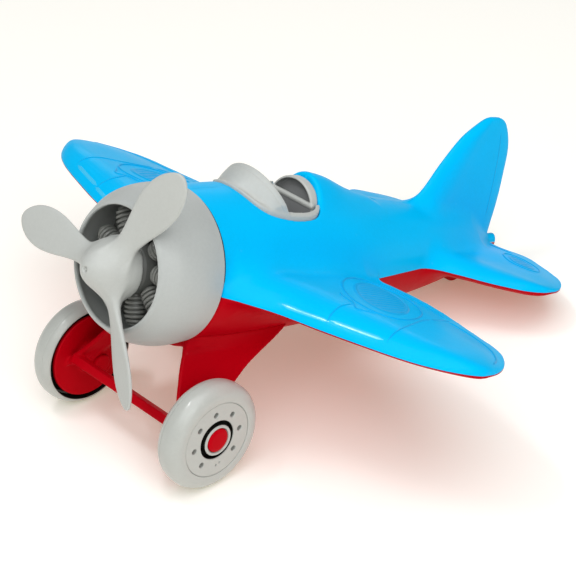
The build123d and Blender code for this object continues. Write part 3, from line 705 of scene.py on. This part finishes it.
def on_side(u, v):
    """The same for the side of the fin at (s, h)."""
    xs, ss, hs, above, beside = maps
    f = lambda a, b: lookup(beside, ss, hs, a, b)
    e = 0.8
    n = np.stack([np.ones_like(u), -(f(u + e, v) - f(u - e, v)) / (2 * e), -(f(u, v + e) - f(u, v - e)) / (2 * e)], -1)
    return np.stack([f(u, v), u, v], -1), n / np.linalg.norm(n, axis=-1, keepdims=True)


relief_v, relief_f = [], []


def put(V, F):
    """Add a closed piece and its mirror image."""
    for sgn in (1, -1):
        n = sum(len(v) for v in relief_v)
        relief_v.append(V * [sgn, 1, 1])
        relief_f.extend([[i + n for i in (f if sgn > 0 else f[::-1])] for f in F])


def ridge(points, width=0.8, height=0.2, closed=False, where=on_top, smooth=True):
    p = np.array(points, float)
    if smooth and not closed:
        p = curve(points, per=14)
    step = np.concatenate([[0], np.cumsum(np.linalg.norm(np.diff(np.concatenate([p, p[:1]]) if closed else p, axis=0), axis=1))])
    q = np.concatenate([p, p[:1]]) if closed else p
    n = max(8, int(step[-1] / 0.5))
    u = np.linspace(0, step[-1], n, endpoint=not closed)
    a = np.stack([np.interp(u, step, q[:, k]) for k in (0, 1)], 1)
    P, N = where(a[:, 0], a[:, 1])
    T = (np.roll(P, -1, 0) - np.roll(P, 1, 0)) if closed else np.gradient(P, axis=0)
    T /= np.linalg.norm(T, axis=1, keepdims=True)
    B = np.cross(T, N)
    sec = [(-0.5, -0.25), (-0.48, 0.02), (-0.3, 0.72), (0.0, 1.0), (0.3, 0.72), (0.48, 0.02), (0.5, -0.25)]
    taper = np.ones(n) if closed else np.clip(np.minimum(np.arange(n), np.arange(n)[::-1]) / 4.0, 0.25, 1.0)
    V = np.stack([P + B * (width * c * taper)[:, None] + N * ((height * h if h > 0 else h) * (taper if h > 0 else 1.0 + 0 * taper))[:, None] for c, h in sec], 1)
    m = len(sec)
    F = []
    for i in range(n if closed else n - 1):
        j = (i + 1) % n
        for k in range(m):
            l = (k + 1) % m
            F.append([i * m + k, j * m + k, j * m + l, i * m + l])
    if not closed:
        F += [list(range(m)), [(n - 1) * m + k for k in range(m)][::-1]]
    put(V.reshape(-1, 3), F)


def oval(cx, cs, a, b, turn, n=160):
    t = np.arange(n) * 2 * math.pi / n
    u, v = a * np.cos(t), b * np.sin(t)
    c, s = math.cos(turn), math.sin(turn)
    return np.stack([cx + u * c - v * s, cs + u * s + v * c], 1)


def badge(cx, cs, a, b, turn, pitch, rise=0.24, rings=None, n=300):
    """Plain oval plate standing a little proud: a rounded rim and slanting ribs inside it."""
    rings = rings or int(b / 0.2)
    rr = np.linspace(0.02, 1.0, rings)
    t = np.arange(n) * 2 * math.pi / n
    U, W = a * rr[:, None] * np.cos(t), b * rr[:, None] * np.sin(t)
    c, s = math.cos(turn), math.sin(turn)
    X, S = cx + U * c - W * s, cs + U * s + W * c
    P, N = on_top(X.ravel(), S.ravel())
    edge = (1 - rr[:, None]) * b
    rim = np.exp(-((edge - 0.75) / 0.4) ** 2)
    inner = 1 / (1 + np.exp(-(edge - 2.0) / 0.15))
    ribs = 0.5 + 0.5 * np.tanh(2.2 * np.cos((U + 0.55 * W) * 2 * math.pi / pitch))
    hgt = rise * np.clip(edge / 0.45, 0, 1) ** 0.5 * (0.35 + 0.65 * rim + 0.65 * inner * ribs)
    P = P + N * hgt.reshape(-1, 1)
    low, nl = on_top(X[-1], S[-1])
    mid, nm = on_top(np.array([cx]), np.array([cs]))
    V = np.concatenate([P, low - nl * 0.3, mid + nm * rise * 0.7, mid - nm * 0.3])
    idx = np.arange(rings * n).reshape(rings, n)
    F = []
    for i in range(rings - 1):
        for j in range(n):
            k = (j + 1) % n
            F.append([int(idx[i, j]), int(idx[i + 1, j]), int(idx[i + 1, k]), int(idx[i, k])])
    base = rings * n
    for j in range(n):
        k = (j + 1) % n
        F.append([int(idx[-1, j]), base + j, base + k, int(idx[-1, k])])
        F.append([base + n, int(idx[0, j]), int(idx[0, k])])
        F.append([base + n + 1, base + k, base + j])
    put(V, F)


ridge(oval(59.0, 55.5, 27.0, 15.6, -0.75), 0.9, 0.42, closed=True)
badge(59.6, 54.4, 21.0, 10.8, -0.70, 3.0, 0.42)
ridge([(54.0, 36.4), (60.5, 32.6), (66.0, 31.4), (70.6, 28.6), (72.8, 30.6), (76.0, 33.4)], 0.9, 0.36)
ridge([(66.4, 31.2), (66.0, 26.0), (66.6, 20.5), (67.8, 16.6)], 0.8, 0.30)
ridge([(80.6, 59.4), (82.4, 51.5), (86.6, 39.6), (89.4, 30.6), (90.6, 24.4)], 0.8, 0.30)
ridge([(80.6, 59.4), (79.4, 65.0), (77.4, 72.0), (76.6, 77.6)], 0.8, 0.30)
ridge([(77.6, 75.0), (87.0, 74.4), (94.0, 72.6), (102.4, 69.2), (109.0, 64.8), (113.8, 59.6), (117.0, 53.6)], 0.9, 0.36)
ridge([(34.0, 82.4), (44.0, 82.9), (56.0, 82.0), (66.0, 80.0), (74.6, 77.0)], 0.8, 0.30)
ridge(oval(31.0, 180.0, 11.0, 7.0, -0.35, 100), 0.8, 0.34, closed=True)
badge(31.0, 180.0, 8.6, 4.9, -0.35, 2.2, 0.34, n=160)
ridge([(7.0, 186.4), (13.0, 187.6), (20.0, 188.8)], 0.9, 0.32)
ridge([(179.4, 51.0), (181.3, 42.4), (182.3, 35.4), (183.4, 26.0), (184.0, 18.8), (184.4, 11.6)], 0.7, 0.14, where=on_side)
allv = np.concatenate(relief_v)
# the raised lines and badges are drawn in the darker blue, painting the shade that grooves would hold
make("wing_relief", to_row(allv), relief_f, RELIEF_SHADE_BLUE, "airframe", mark=50)
relief_v, relief_f = [], []
# two thin raised strips along the leading edge in the paler glossy blue, placed to paint its highlight streaks
ridge([(49.0, 12.2), (59.8, 15.0), (68.2, 17.3)], 1.5, 0.10)
ridge([(68.6, 17.9), (75.0, 19.8), (89.0, 24.2)], 1.5, 0.10)
make("leading_edge_bead", to_row(np.concatenate(relief_v)), relief_f, HIGHLIGHT_BLUE, "airframe", mark=50)


# ------------------------------------------------------------------ engine cowl
def along(points, start=None, end=None, per=10):
    return [tuple(p) for p in curve(points, start, end, per)]


outer = along([(-0.30, 30.2), (-8.0, 30.8), (-15.0, 30.1), (-21.0, 28.1), (-25.2, 25.4), (-26.75, 23.9)], (-1, 0.08), (-0.5, -1.2), 9)
lip = [(-26.95, 23.55), (-26.9, 23.25), (-26.6, 23.0), (-26.1, 22.98)]
inner = along([(-25.4, 23.1), (-21.0, 25.8), (-14.0, 27.7), (-7.0, 28.15)], (1, 0.75), (1, 0), 8)
V, F = lathe(outer + lip + inner + [(-7.0, 28.3), (-0.2, 28.3), (-0.1, 28.5), (-0.1, 29.4), (-0.14, 29.9)], NOSE, AXD, XD, 256)
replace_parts(make("cowl_skin", V, F, COWL, "airframe", mark=40), "engine_cowl")

# a near-black ring at the bottom of the joint between cowl and shell: painted shade in the seam
V, F = lathe([(-0.3, 27.9), (-0.3, 29.55), (0.9, 29.45), (0.9, 27.9)], NOSE, AXD, XD, 192)
make("cowl_joint", V, F, GAP_SHADE, "airframe", mark=40)

# ------------------------------------------------------------------ crankcase and finned cylinders
V, F = lathe(rounded([(4.0, 24.2), (4.0, 26.4), (-0.3, 26.4), (-0.3, 28.1), (-6.5, 28.1), (-6.5, 13.2), (-11.8, 11.6), (-20.8, 10.4),
                      (-22.5, 9.0), (-22.5, 2.6), (-3.4, 2.6), (-3.4, 24.2)], 0.5), NOSE, AXD, XD, 160)
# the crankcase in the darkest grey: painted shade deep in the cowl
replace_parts(make("crankcase_body", V, F, CRANK_SHADE, "airframe", mark=40), "engine_crankcase")

parts_v, parts_f = [], []
for i in range(9):
    a = math.radians(4.0 + i * 40.0)
    out = XD * math.sin(a) + UPD * math.cos(a)
    side = XD * math.cos(a) - UPD * math.sin(a)
    base = NOSE + AXD * -16.6
    prof = [(10.5, 0.0), (10.5, 2.2)]
    for k in range(6):
        z = 11.9 + k * 1.76
        R = (3.6, 4.05, 4.15, 4.15, 4.1, 3.6)[k]
        prof += [(z - 0.62, R - 1.35)] + [(z + 0.62 * math.sin(q), R - 0.62 + 0.62 * math.cos(q)) for q in np.radians([-80, -50, -20, 20, 50, 80])] + [(z + 0.62, R - 1.35)]
    prof += [(21.5, 2.35), (21.75, 2.55), (22.2, 2.5), (22.6, 2.05), (22.82, 1.1), (22.86, 0.0)]
    V, F = lathe(prof, base, out, AXD, 44)
    n = sum(len(v) for v in parts_v)
    parts_v.append(V); parts_f += [[m + n for m in f] for f in F]
# cylinders in the dark grey: painted shade of the cavity inside the cowl
cyl = make("cylinder_set", np.concatenate(parts_v), parts_f, RECESS_SHADE_GREY, "airframe", mark=35)
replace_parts(cyl, "engine_cylinders")


# ------------------------------------------------------------------ propeller: spinner and paddle blades in one moulding
BLADE = np.array([
    (4.0, 8.0, 6.0, 30.0), (11.0, 8.4, 5.2, 28.0), (17.0, 9.4, 3.8, 26.0), (24.0, 12.2, 2.9, 24.0), (31.0, 15.2, 2.6, 22.5),
    (38.0, 16.4, 2.4, 21.0), (44.0, 14.8, 2.2, 20.0), (48.5, 11.2, 1.9, 20.0), (51.6, 6.2, 1.6, 20.0), (52.9, 1.8, 1.2, 20.0)])


def propeller_body(G=0.4):
    xs, ss, hs = np.arange(-53.6, 53.7, G), np.arange(-43.4, -21.0, G), np.arange(-53.6, 53.7, G)
    X, S, H = [a.astype(np.float32) for a in np.meshgrid(xs, ss, hs, indexing="ij")]
    R = np.sqrt(X * X + H * H)
    nose = curve([(-41.85, 0), (-40.2, 4.4), (-36.5, 7.7), (-31.0, 10.5), (-26.0, 11.8), (-23.7, 11.9)], (0, 1), (1, 0), 8)
    poly = np.concatenate([nose, [(-23.7, -11.9)], (nose * [1, -1])[::-1]])
    gs, gr = np.arange(-44.0, -20.0, 0.2), np.arange(0, 78, 0.2)
    tab = poly_sdf(np.stack(np.meshgrid(gs, gr, indexing="ij"), -1).reshape(-1, 2), poly).reshape(len(gs), len(gr))
    a, b = (S - gs[0]) / 0.2, R / 0.2
    i, j = np.clip(a.astype(int), 0, len(gs) - 2), np.clip(b.astype(int), 0, len(gr) - 2)
    u, v = a - i, b - j
    d = (tab[i, j] * (1 - u) * (1 - v) + tab[i + 1, j] * u * (1 - v) + tab[i, j + 1] * (1 - u) * v + tab[i + 1, j + 1] * u * v).astype(np.float32)
    f = tipped(BLADE, 53.0)
    rr = np.arange(0, 56, 0.1)
    tabb = f(np.clip(rr, 4.0, 52.95))
    for angle in (30.5, 150.5, 270.5):
        t = math.radians(angle)
        r = X * math.sin(t) + H * math.cos(t)
        q = X * math.cos(t) - H * math.sin(t)
        ax = S + 30.4
        k = np.clip((r / 0.1).astype(int), 0, len(rr) - 1)
        wid, thk, tw = tabb[k, 0] / 2, tabb[k, 1] / 2, np.radians(tabb[k, 2])
        cc, nn = q * np.cos(tw) + ax * np.sin(tw), -q * np.sin(tw) + ax * np.cos(tw)
        # a slight camber, and faces that thin towards the edges
        nn = nn + 0.02 * cc * cc / np.maximum(wid, 1) - 0.3
        half = thk * (1 - 0.45 * np.clip(cc / wid, -1, 1) ** 2)
        e = smax(np.abs(cc) - wid, np.abs(nn) - half, 1.1)
        e = smax(e, np.maximum(r - 52.8, 2.0 - r), 0.6)
        d = smin(d, e.astype(np.float32), 5.5)
    d = smax(d, S + 23.7, 0.5)
    dot = np.sqrt(X * X + H * H) - 1.15
    d = smax(d, -smax(dot, S + 40.9, 0.3), 0.3)
    V, Q = nets(d)
    return V * G + np.array([xs[0], ss[0], hs[0]]), Q


V, Q = propeller_body()
V[:, 1] = np.maximum(V[:, 1], -41.85)
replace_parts(make("propeller_body", to_row(V), Q, GREY, "propeller"), "propeller")
V, F = lathe([(-42.0 + 0.9, 0.0), (-41.25, 0.45), (-41.15, 0.6), (-40.7, 0.6), (-40.7, 0.0)], NOSE, AXD, XD, 32)
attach(make("spinner_dot", V, F, GREY, "propeller", mark=40), "propeller")

for n in ("propeller_shaft", "shaft_retainer"):
    o = frame["nodes"][n]
    o.data.materials.clear(); o.data.materials.append(STEEL if n == "propeller_shaft" else GREY)


# ------------------------------------------------------------------ windshield hood with the cockpit rim, and the seat
def cockpit_field(G=0.3):
    xs, ss, hs = np.arange(-1.5 * G, 23.0, G), np.arange(18.0, 68.0, G), np.arange(8.0, 48.0, G)
    X, S, H = [a.astype(np.float32) for a in np.meshgrid(np.abs(xs), ss, hs, indexing="ij")]
    hull = hull_d(X, S, H)
    op = poly_sdf(np.stack(np.meshgrid(np.abs(xs), ss, indexing="ij"), -1).reshape(-1, 2), opening_poly).reshape(len(xs), len(ss))[:, :, None] + 0 * H
    return xs, ss, hs, X, S, H, hull, op


def windshield_body(G=0.3):
    xs, ss, hs, X, S, H, hull, op = cockpit_field(G)
    hw = cubic(HOOD[:, 0], HOOD[:, 1:])(np.clip(ss, 21.6, 42.0))
    w, t = hw[:, 0][None, :, None], hw[:, 1][None, :, None]
    o = ell(X, H - 16.0, w, t - 16.0)
    raked = poly_sdf(np.stack(np.meshgrid(ss, hs, indexing="ij"), -1).reshape(-1, 2),
                     np.array([(42.0, 20), (38.6, 26.0), (31.0, 38.4), (28.0, 46), (10, 46), (10, 20)])).reshape(len(ss), len(hs))[None] + 0 * X
    skin = np.abs(o + 0.85) - 0.85
    d = smax(skin, raked, 0.7)
    d = smax(d, 21.4 - S, 0.5)
    band = smax(np.abs(op + 1.0) - 0.85, np.maximum(hull - 0.8, 17.0 - H), 0.5)
    seat_back = smax(X - 12.75, 58.0 - S, 0.2)
    d = smax(d, op + 0.45, 0.3)
    d = smin(smax(d, -(hull + 0.6), 0.3), band, 0.8)
    # fine step just in front of the rear edge
    d = d + 0.22 * np.exp(-((raked + 2.3) / 0.28) ** 2) * (o > -0.9)
    d = smax(d, -smax(X - 13.1, 54.5 - S, 0.3), 0.3)
    V, Q = nets(d.astype(np.float32))
    V = V * G + np.array([xs[0], ss[0], hs[0]])
    V, Q, mid = mirrored(V, Q)
    V[mid, 0] = 0
    return V, Q


V, Q = windshield_body()
W, Fc = whole(V, [list(q) for q in Q])
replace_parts(make("windshield_hood", to_row(W), Fc, GREY, "airframe"), "windshield")


def seat_body(G=0.3):
    xs, ss, hs, X, S, H, hull, op = cockpit_field(G)
    arch = np.where(H > 20.2, np.sqrt(X * X + (H - 20.2) ** 2) - 12.6, X - 12.6)
    back = smax(smax(arch, np.abs(S - 60.0) - 2.4, 1.4), 8.8 - H, 0.4)
    dish = np.where(H > 20.2, np.sqrt(X * X + (H - 20.2) ** 2) - 11.5, X - 11.5)
    back = smax(back, -smax(smax(dish, S - 60.6, 0.8), 24.2 - H, 0.6), 0.5)
    bench = smax(smax(X - 12.6, np.abs(S - 48.7) - 11.7, 1.5), smax(H - 12.4, 8.8 - H, 0.4), 0.8)
    arms = smax(smax(np.abs(X - 11.4) - 1.2, np.abs(S - 48.4) - 11.4, 1.0), smax(H - 20.4, 8.8 - H, 0.4), 0.9)
    roll = smax(np.sqrt((S - 58.2) ** 2 + (H - 24.6) ** 2) - 1.05, X - 12.2, 0.6)
    d = smin(smin(smin(back, bench, 1.5), arms, 1.2), roll, 0.5)
    d = smax(d, op + 0.4, 0.3)
    V, Q = nets(d.astype(np.float32))
    V = V * G + np.array([xs[0], ss[0], hs[0]])
    V, Q, mid = mirrored(V, Q)
    V[mid, 0] = 0
    return V, Q


V, Q = seat_body()
W, Fc = whole(V, [list(q) for q in Q])
seat = make("seat_body", to_row(W), Fc, GREY, "airframe")
# faces of the seat dish and of the bench and arms ahead of it take the dark grey: painted shade
seat.data.materials.append(COCKPIT_SHADE)
for f in seat.data.polygons:
    x, s, h = np.mean(W[list(f.vertices)], axis=0)
    if (h > 24.9 and s > 57.9 and s < 61.2 and math.hypot(x, h - 20.2) < 11.65 and math.hypot(s - 58.2, h - 24.6) > 1.15) or (h < 23.6 and s < 57.75 and h > 12.2):
        f.material_index = 1
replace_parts(seat, "pilot_seat")
# the whole cockpit tub in the dark grey: painted shade inside the cockpit
o = frame["nodes"]["cockpit_tub"]
o.data.materials.clear(); o.data.materials.append(COCKPIT_SHADE)


# ------------------------------------------------------------------ landing gear
LEG = np.array([
    (22.6, 33.3, 6.0, -11.6, -2.0), (24.4, 33.0, 6.0, -11.4, 3.0), (29.0, 30.0, 5.6, -7.6, 20.0), (33.0, 27.0, 5.4, -4.4, 32.2),
    (36.4, 24.8, 5.2, -1.8, 47.0), (39.5, 22.7, 5.0, 0.6, 57.0), (47.0, 19.0, 5.0, 6.5, 60.0), (55.0, 17.0, 5.0, 11.0, 60.0)])


def gear_body(G=0.45):
    xs, ys, zs = np.arange(-1.5 * G, 37.0, G), np.arange(-19.0, 66.0, G), np.arange(3.0, 66.0, G)
    X, Y, Z = [a.astype(np.float32) for a in np.meshgrid(np.abs(xs), ys, zs, indexing="ij")]
    leg_f = cubic(LEG[:, 0], LEG[:, 1:])
    leg = np.full(X.shape, 15.0, np.float32)
    P = np.stack(np.meshgrid(np.abs(xs), ys, indexing="ij"), -1).reshape(-1, 2)
    for k, z in enumerate(zs):
        if not 21.4 <= z <= 55.0:
            continue
        xo, rib, yf, yr = leg_f(max(z, 22.6))
        poly = np.array([(xo, yf), (xo, yr), (xo - 2.4, yr), (xo - rib, yf + 0.5 * (yr - yf)), (xo - rib, yf + 0.25 * (yr - yf) + 2.0), (xo - 2.0, yf + 0.4)])
        leg[:, :, k] = poly_sdf(P, poly).reshape(len(xs), len(ys)) * 0.8
    leg = smax(leg, 22.6 - Z, 1.0)
    for axis in (1, 2, 2):
        leg = 0.5 * leg + 0.25 * (np.roll(leg, 1, axis) + np.roll(leg, -1, axis))
    rowY = Y + AXLE_Y
    S = (rowY - NOSE[1]) * CP - (Z - NOSE[2]) * SP
    H = (rowY - NOSE[1]) * SP + (Z - NOSE[2]) * CP
    hull = hull_d(X, S, H)
    sad_r = cubic([-2.0, 24.0, 44.0], [31.9, 32.4, 31.6])(np.clip(S, -2, 44))
    saddle = smax(np.sqrt(X * X + H * H) - sad_r, smax(X - 19.5, np.abs(S - 24.5) - 22.0, 4.0), 0.8)
    saddle = np.where(H > -14, 15.0, saddle)
    d = smin(leg, saddle, 4.0)
    bar = poly_sdf(np.stack(np.meshgrid(ys, zs, indexing="ij"), -1).reshape(-1, 2),
                   np.array([(-11.3, 24.8), (-7.8, 23.6), (-6.4, 26.6), (-9.6, 28.0)])).reshape(len(ys), len(zs))[None] + 0 * X
    bar = smax(bar, X - 31.0, 0.4)
    d = smin(d, bar, 1.2)
    rad = np.sqrt(Y * Y + (Z - AXLE_Z) ** 2)
    disc = smax(rad - 17.55, np.abs(X - 34.0) - 0.95, 0.5)
    hub = smax(rad - 6.6, np.abs(X - 30.6) - 4.3, 0.6)
    d = smin(d, disc, 1.6)
    d = smin(d, hub, 1.6)
    d = smax(d, -(hull + 0.25), 0.2)
    d = smax(d, -smax(rad - 3.45, 24.0 - X, 0.1), 0.1)
    V, Q = nets(d.astype(np.float32))
    V = V * G + np.array([xs[0], ys[0], zs[0]])
    V, Q, mid = mirrored(V, Q)
    V[mid, 0] = 0
    V[:, 1] += AXLE_Y
    return V, Q


V, Q = gear_body()
W, Fc = whole(V, [list(q) for q in Q])
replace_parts(make("gear_frame", W, Fc, RED, "airframe"), "landing_gear")


# ------------------------------------------------------------------ wheels
def wheel(side, tag):
    body = "wheel_" + tag
    c = np.array([0.0, AXLE_Y, AXLE_Z])
    ax = XD * side
    Yd = np.array([0.0, 1.0, 0.0])
    tread = [(41.2, 15.36), (43.55, 15.36), (43.85, 15.45), (44.02, 15.75)]
    tread += along([(44.05, 16.0), (44.12, 17.3), (43.45, 19.4), (41.8, 21.05), (39.0, 21.87)], (0.1, 1), (-1, 0), 9)
    tread += along([(39.0, 21.87), (37.6, 21.82), (36.42, 21.66)], (-1, 0), (-1, -0.2), 5)[1:]
    tread += [(36.27, 21.58), (36.2, 21.45), (36.2, 19.9), (40.4, 19.9), (41.2, 19.1)]
    V, F = lathe(tread, c, ax, Yd, 224)
    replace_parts(make("tyre_shell_" + tag, V, F, WHEEL, body, mark=40), "wheel_shell_" + tag)
    ring = [(36.2, 21.45), (36.13, 21.58), (35.98, 21.6)] + along([(35.9, 21.58), (34.8, 21.2), (33.8, 20.5), (33.25, 19.75)], (-1, -0.2), (-0.1, -1), 6)
    ring += [(33.25, 19.45), (33.4, 19.25), (33.7, 19.2), (38.0, 19.2), (38.0, 19.8), (36.2, 19.8)]
    V, F = lathe(ring, c, ax, Yd, 224)
    ob = make("tyre_back_" + tag, V, F, WHEEL, body, mark=40)
    # the inner faces of the ring next to the hub take the near black: painted shade in the gap between tyre and hub
    ob.data.materials.append(GAP_SHADE)
    for f in ob.data.polygons:
        v = np.array(f.center) * 1000 - c
        if math.hypot(v[1], v[2]) < 19.42:
            f.material_index = 1
    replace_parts(ob, "wheel_back_" + tag)
    # hub disc: lathed body, with a face that carries the dimples
    prof = rounded([(35.6, 3.47), (35.6, 6.2), (39.4, 6.2), (39.4, 18.8), (41.15, 18.8), (41.15, 15.3), (43.8, 15.3), (43.8, 8.05),
                    (40.6, 7.95), (40.6, 6.4), (44.15, 6.35), (44.5, 6.0), (44.5, 5.4), (44.15, 5.1), (42.6, 5.05), (42.6, 3.47)],
                   [0.1, 0.2, 0.1, 0.2, 0.1, 0.1, 0.35, 0.35, 0.2, 0.2, 0.3, 0.25, 0.2, 0.2, 0.2, 0.1])
    V, F = lathe(prof, c, ax, Yd, 224)
    # the flat face between the rings is cut out of the lathe and laid again as a fine polar grid
    rad = np.sqrt(((V - c) ** 2)[:, 1:].sum(1)); dep = (V - c) @ ax
    face = [f for f in F if all(abs(dep[i] - 43.8) < 0.02 for i in f) and all(8.1 < rad[i] < 15.25 for i in f)]
    cut = [f for f in F if not (all(dep[i] > 43.79 for i in f) and min(rad[i] for i in f) > 8.0 and max(rad[i] for i in f) > 12 and min(rad[i] for i in f) < 12)]
    r_in = max(rad[i] for i in range(len(V)) if dep[i] > 43.79 and rad[i] < 12 and dep[i] < 43.81)
    r_out = min(rad[i] for i in range(len(V)) if dep[i] > 43.79 and rad[i] > 12 and dep[i] < 43.81)
    R = np.linspace(r_in, r_out, 44)
    T = np.arange(448) * 2 * math.pi / 448
    g = np.zeros((len(R), len(T), 3))
    dd = np.zeros((len(R), len(T)))
    yy, zz = R[:, None] * np.cos(T), R[:, None] * np.sin(T)
    zz_row = zz * side      # the lathe turns the other way on the right
    for k in range(8):
        a = math.radians(90 + 45 * k)
        cy, cz = 11.1 * math.cos(a), 11.1 * math.sin(a)
        if k == 4:
            for oy, oz in ((-0.8, -0.2), (0.9, 0.2)):
                q = np.sqrt((yy - cy - oy) ** 2 + (zz_row - cz - oz) ** 2)
                dd += 0.8 * (1 / (1 + np.exp((q - 0.42) / 0.05)))
            continue
        q = np.sqrt((yy - cy) ** 2 + (zz_row - cz) ** 2)
        dd += 1.5 * (1 / (1 + np.exp((q - 1.0) / 0.07)))
    third = np.cross(ax, Yd)
    P = c + ax * (43.8 - dd[..., None]) + Yd * yy[..., None] + third * zz[..., None]
    n, m = len(R), len(T)
    idx = np.arange(n * m).reshape(n, m)
    Fg = [[int(idx[i, j]), int(idx[i, (j + 1) % m]), int(idx[i + 1, (j + 1) % m]), int(idx[i + 1, j])] for i in range(n - 1) for j in range(m)]
    base = len(V)
    # lathe faces keep their winding; the grid follows the same sense as the removed ring
    Fg = [[v + base for v in f] for f in Fg]
    V2 = np.concatenate([V, P.reshape(-1, 3)])
    ob = make("hub_face_" + tag, V2, cut + Fg, WHEEL, body, mark=None)
    me = ob.data
    bm = bmesh.new(); bm.from_mesh(me)
    bmesh.ops.remove_doubles(bm, verts=bm.verts, dist=2e-6)
    bmesh.ops.recalc_face_normals(bm, faces=bm.faces)
    bm.to_mesh(me); bm.free()
    me.set_sharp_from_angle(angle=math.radians(42))
    # the walls of the recesses in the hub take the near black and the dimple floors the dark grey: painted shade in the
    # recesses
    me.materials.append(GAP_SHADE)
    me.materials.append(RECESS_SHADE_GREY)
    for f in me.polygons:
        v = np.array(f.center) * 1000 - c
        if (6.3 < math.hypot(v[1], v[2]) < 8.15 and v @ ax < 43.35) or (math.hypot(v[1], v[2]) > 6.3 and v @ ax < 39.6):
            f.material_index = 1
        elif 8.6 < math.hypot(v[1], v[2]) < 14.9 and 41.0 < v @ ax < 43.35:
            f.material_index = 2
    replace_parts(ob, "hub_disc_" + tag)
    pin = rounded([(25.0, 0.0), (25.0, 3.35), (42.75, 3.38), (42.75, 4.85), (44.3, 4.85), (44.75, 3.6), (44.88, 0.0)], [0, 0.4, 0.1, 0.1, 0.5, 1.2, 0])
    V, F = lathe(pin, c, ax, Yd, 96)
    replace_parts(make("pin_button_" + tag, V, F, RED, "airframe", mark=40), "axle_pin_" + tag)


wheel(1.0, "left")
wheel(-1.0, "right")

# every lathed or netted piece faces outwards
for o in list(bpy.data.objects):
    if o.type == "MESH" and "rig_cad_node" not in o and o.name != "floor":
        bm = bmesh.new(); bm.from_mesh(o.data)
        bmesh.ops.recalc_face_normals(bm, faces=bm.faces)
        bm.to_mesh(o.data); bm.free()

# ------------------------------------------------------------------ floor, light and camera
floor_mat = bpy.data.materials.new("floor_paper"); floor_mat.use_nodes = True
fb = floor_mat.node_tree.nodes["Principled BSDF"]
fb.inputs["Base Color"].default_value = (0.93, 0.925, 0.92, 1)
fb.inputs["Roughness"].default_value = 0.9
fb.inputs["Specular IOR Level"].default_value = 0.1
fb.inputs["Emission Color"].default_value = (0.84, 0.76, 0.52, 1)
fb.inputs["Emission Strength"].default_value = 0.24
fm = bpy.data.meshes.new("floor")
fm.from_pydata([(-6, -6, 0), (6, -6, 0), (6, 6, 0), (-6, 6, 0)], [], [(0, 1, 2, 3)])
fo = bpy.data.objects.new("floor", fm); bpy.context.scene.collection.objects.link(fo)
fm.materials.append(floor_mat)

world = bpy.data.worlds.new("studio"); bpy.context.scene.world = world
world.use_nodes = True
bg = world.node_tree.nodes["Background"]
bg.inputs["Color"].default_value = (1.0, 1.0, 1.0, 1); bg.inputs["Strength"].default_value = 0.28


def area(name, loc, target, size, power, colour=(1, 1, 1), size_y=None):
    l = bpy.data.lights.new(name, "AREA")
    l.shape = "RECTANGLE"; l.size = size; l.size_y = size_y or size
    l.energy = power; l.color = colour
    ob = bpy.data.objects.new(name, l)
    bpy.context.scene.collection.objects.link(ob)
    ob.location = loc
    ob.rotation_euler = (Vector(target) - Vector(loc)).to_track_quat("-Z", "Y").to_euler()
    return ob


area("overhead", (0.4, -0.42, 1.3), (0, 0, 0), 1.6, 17.5, (0.975, 0.988, 1.0))
area("front_fill", (1.25, -0.55, 0.7), (0, 0, 0.06), 0.9, 4.6)
area("leading_edge_strip", (-0.26, -0.40, 1.15), (0.07, -0.06, 0.075), 0.30, 1.8, size_y=0.05)
area("back_glow", (-1.35, 1.45, 0.42), (0, 0, 0.08), 1.3, 3.0, size_y=0.45)

cam_data = bpy.data.cameras.new("camera")
cam = bpy.data.objects.new("camera", cam_data)
bpy.context.scene.collection.objects.link(cam)
bpy.context.scene.camera = cam
cam_data.sensor_width = 36.0
cam_data.lens = 36.0 * 1878.43 / 576.0
cam.location = (0.47422, (-363.068 + 0.0 - 0.22 + AXLE_Y) / 1000, (444.151 - 2.2) / 1000)
cam.rotation_euler = (math.radians(90 - 32.1185), 0, math.radians(47.1512))
cam_data.clip_start, cam_data.clip_end = 0.01, 30

bpy.context.scene.view_settings.view_transform = "Standard"
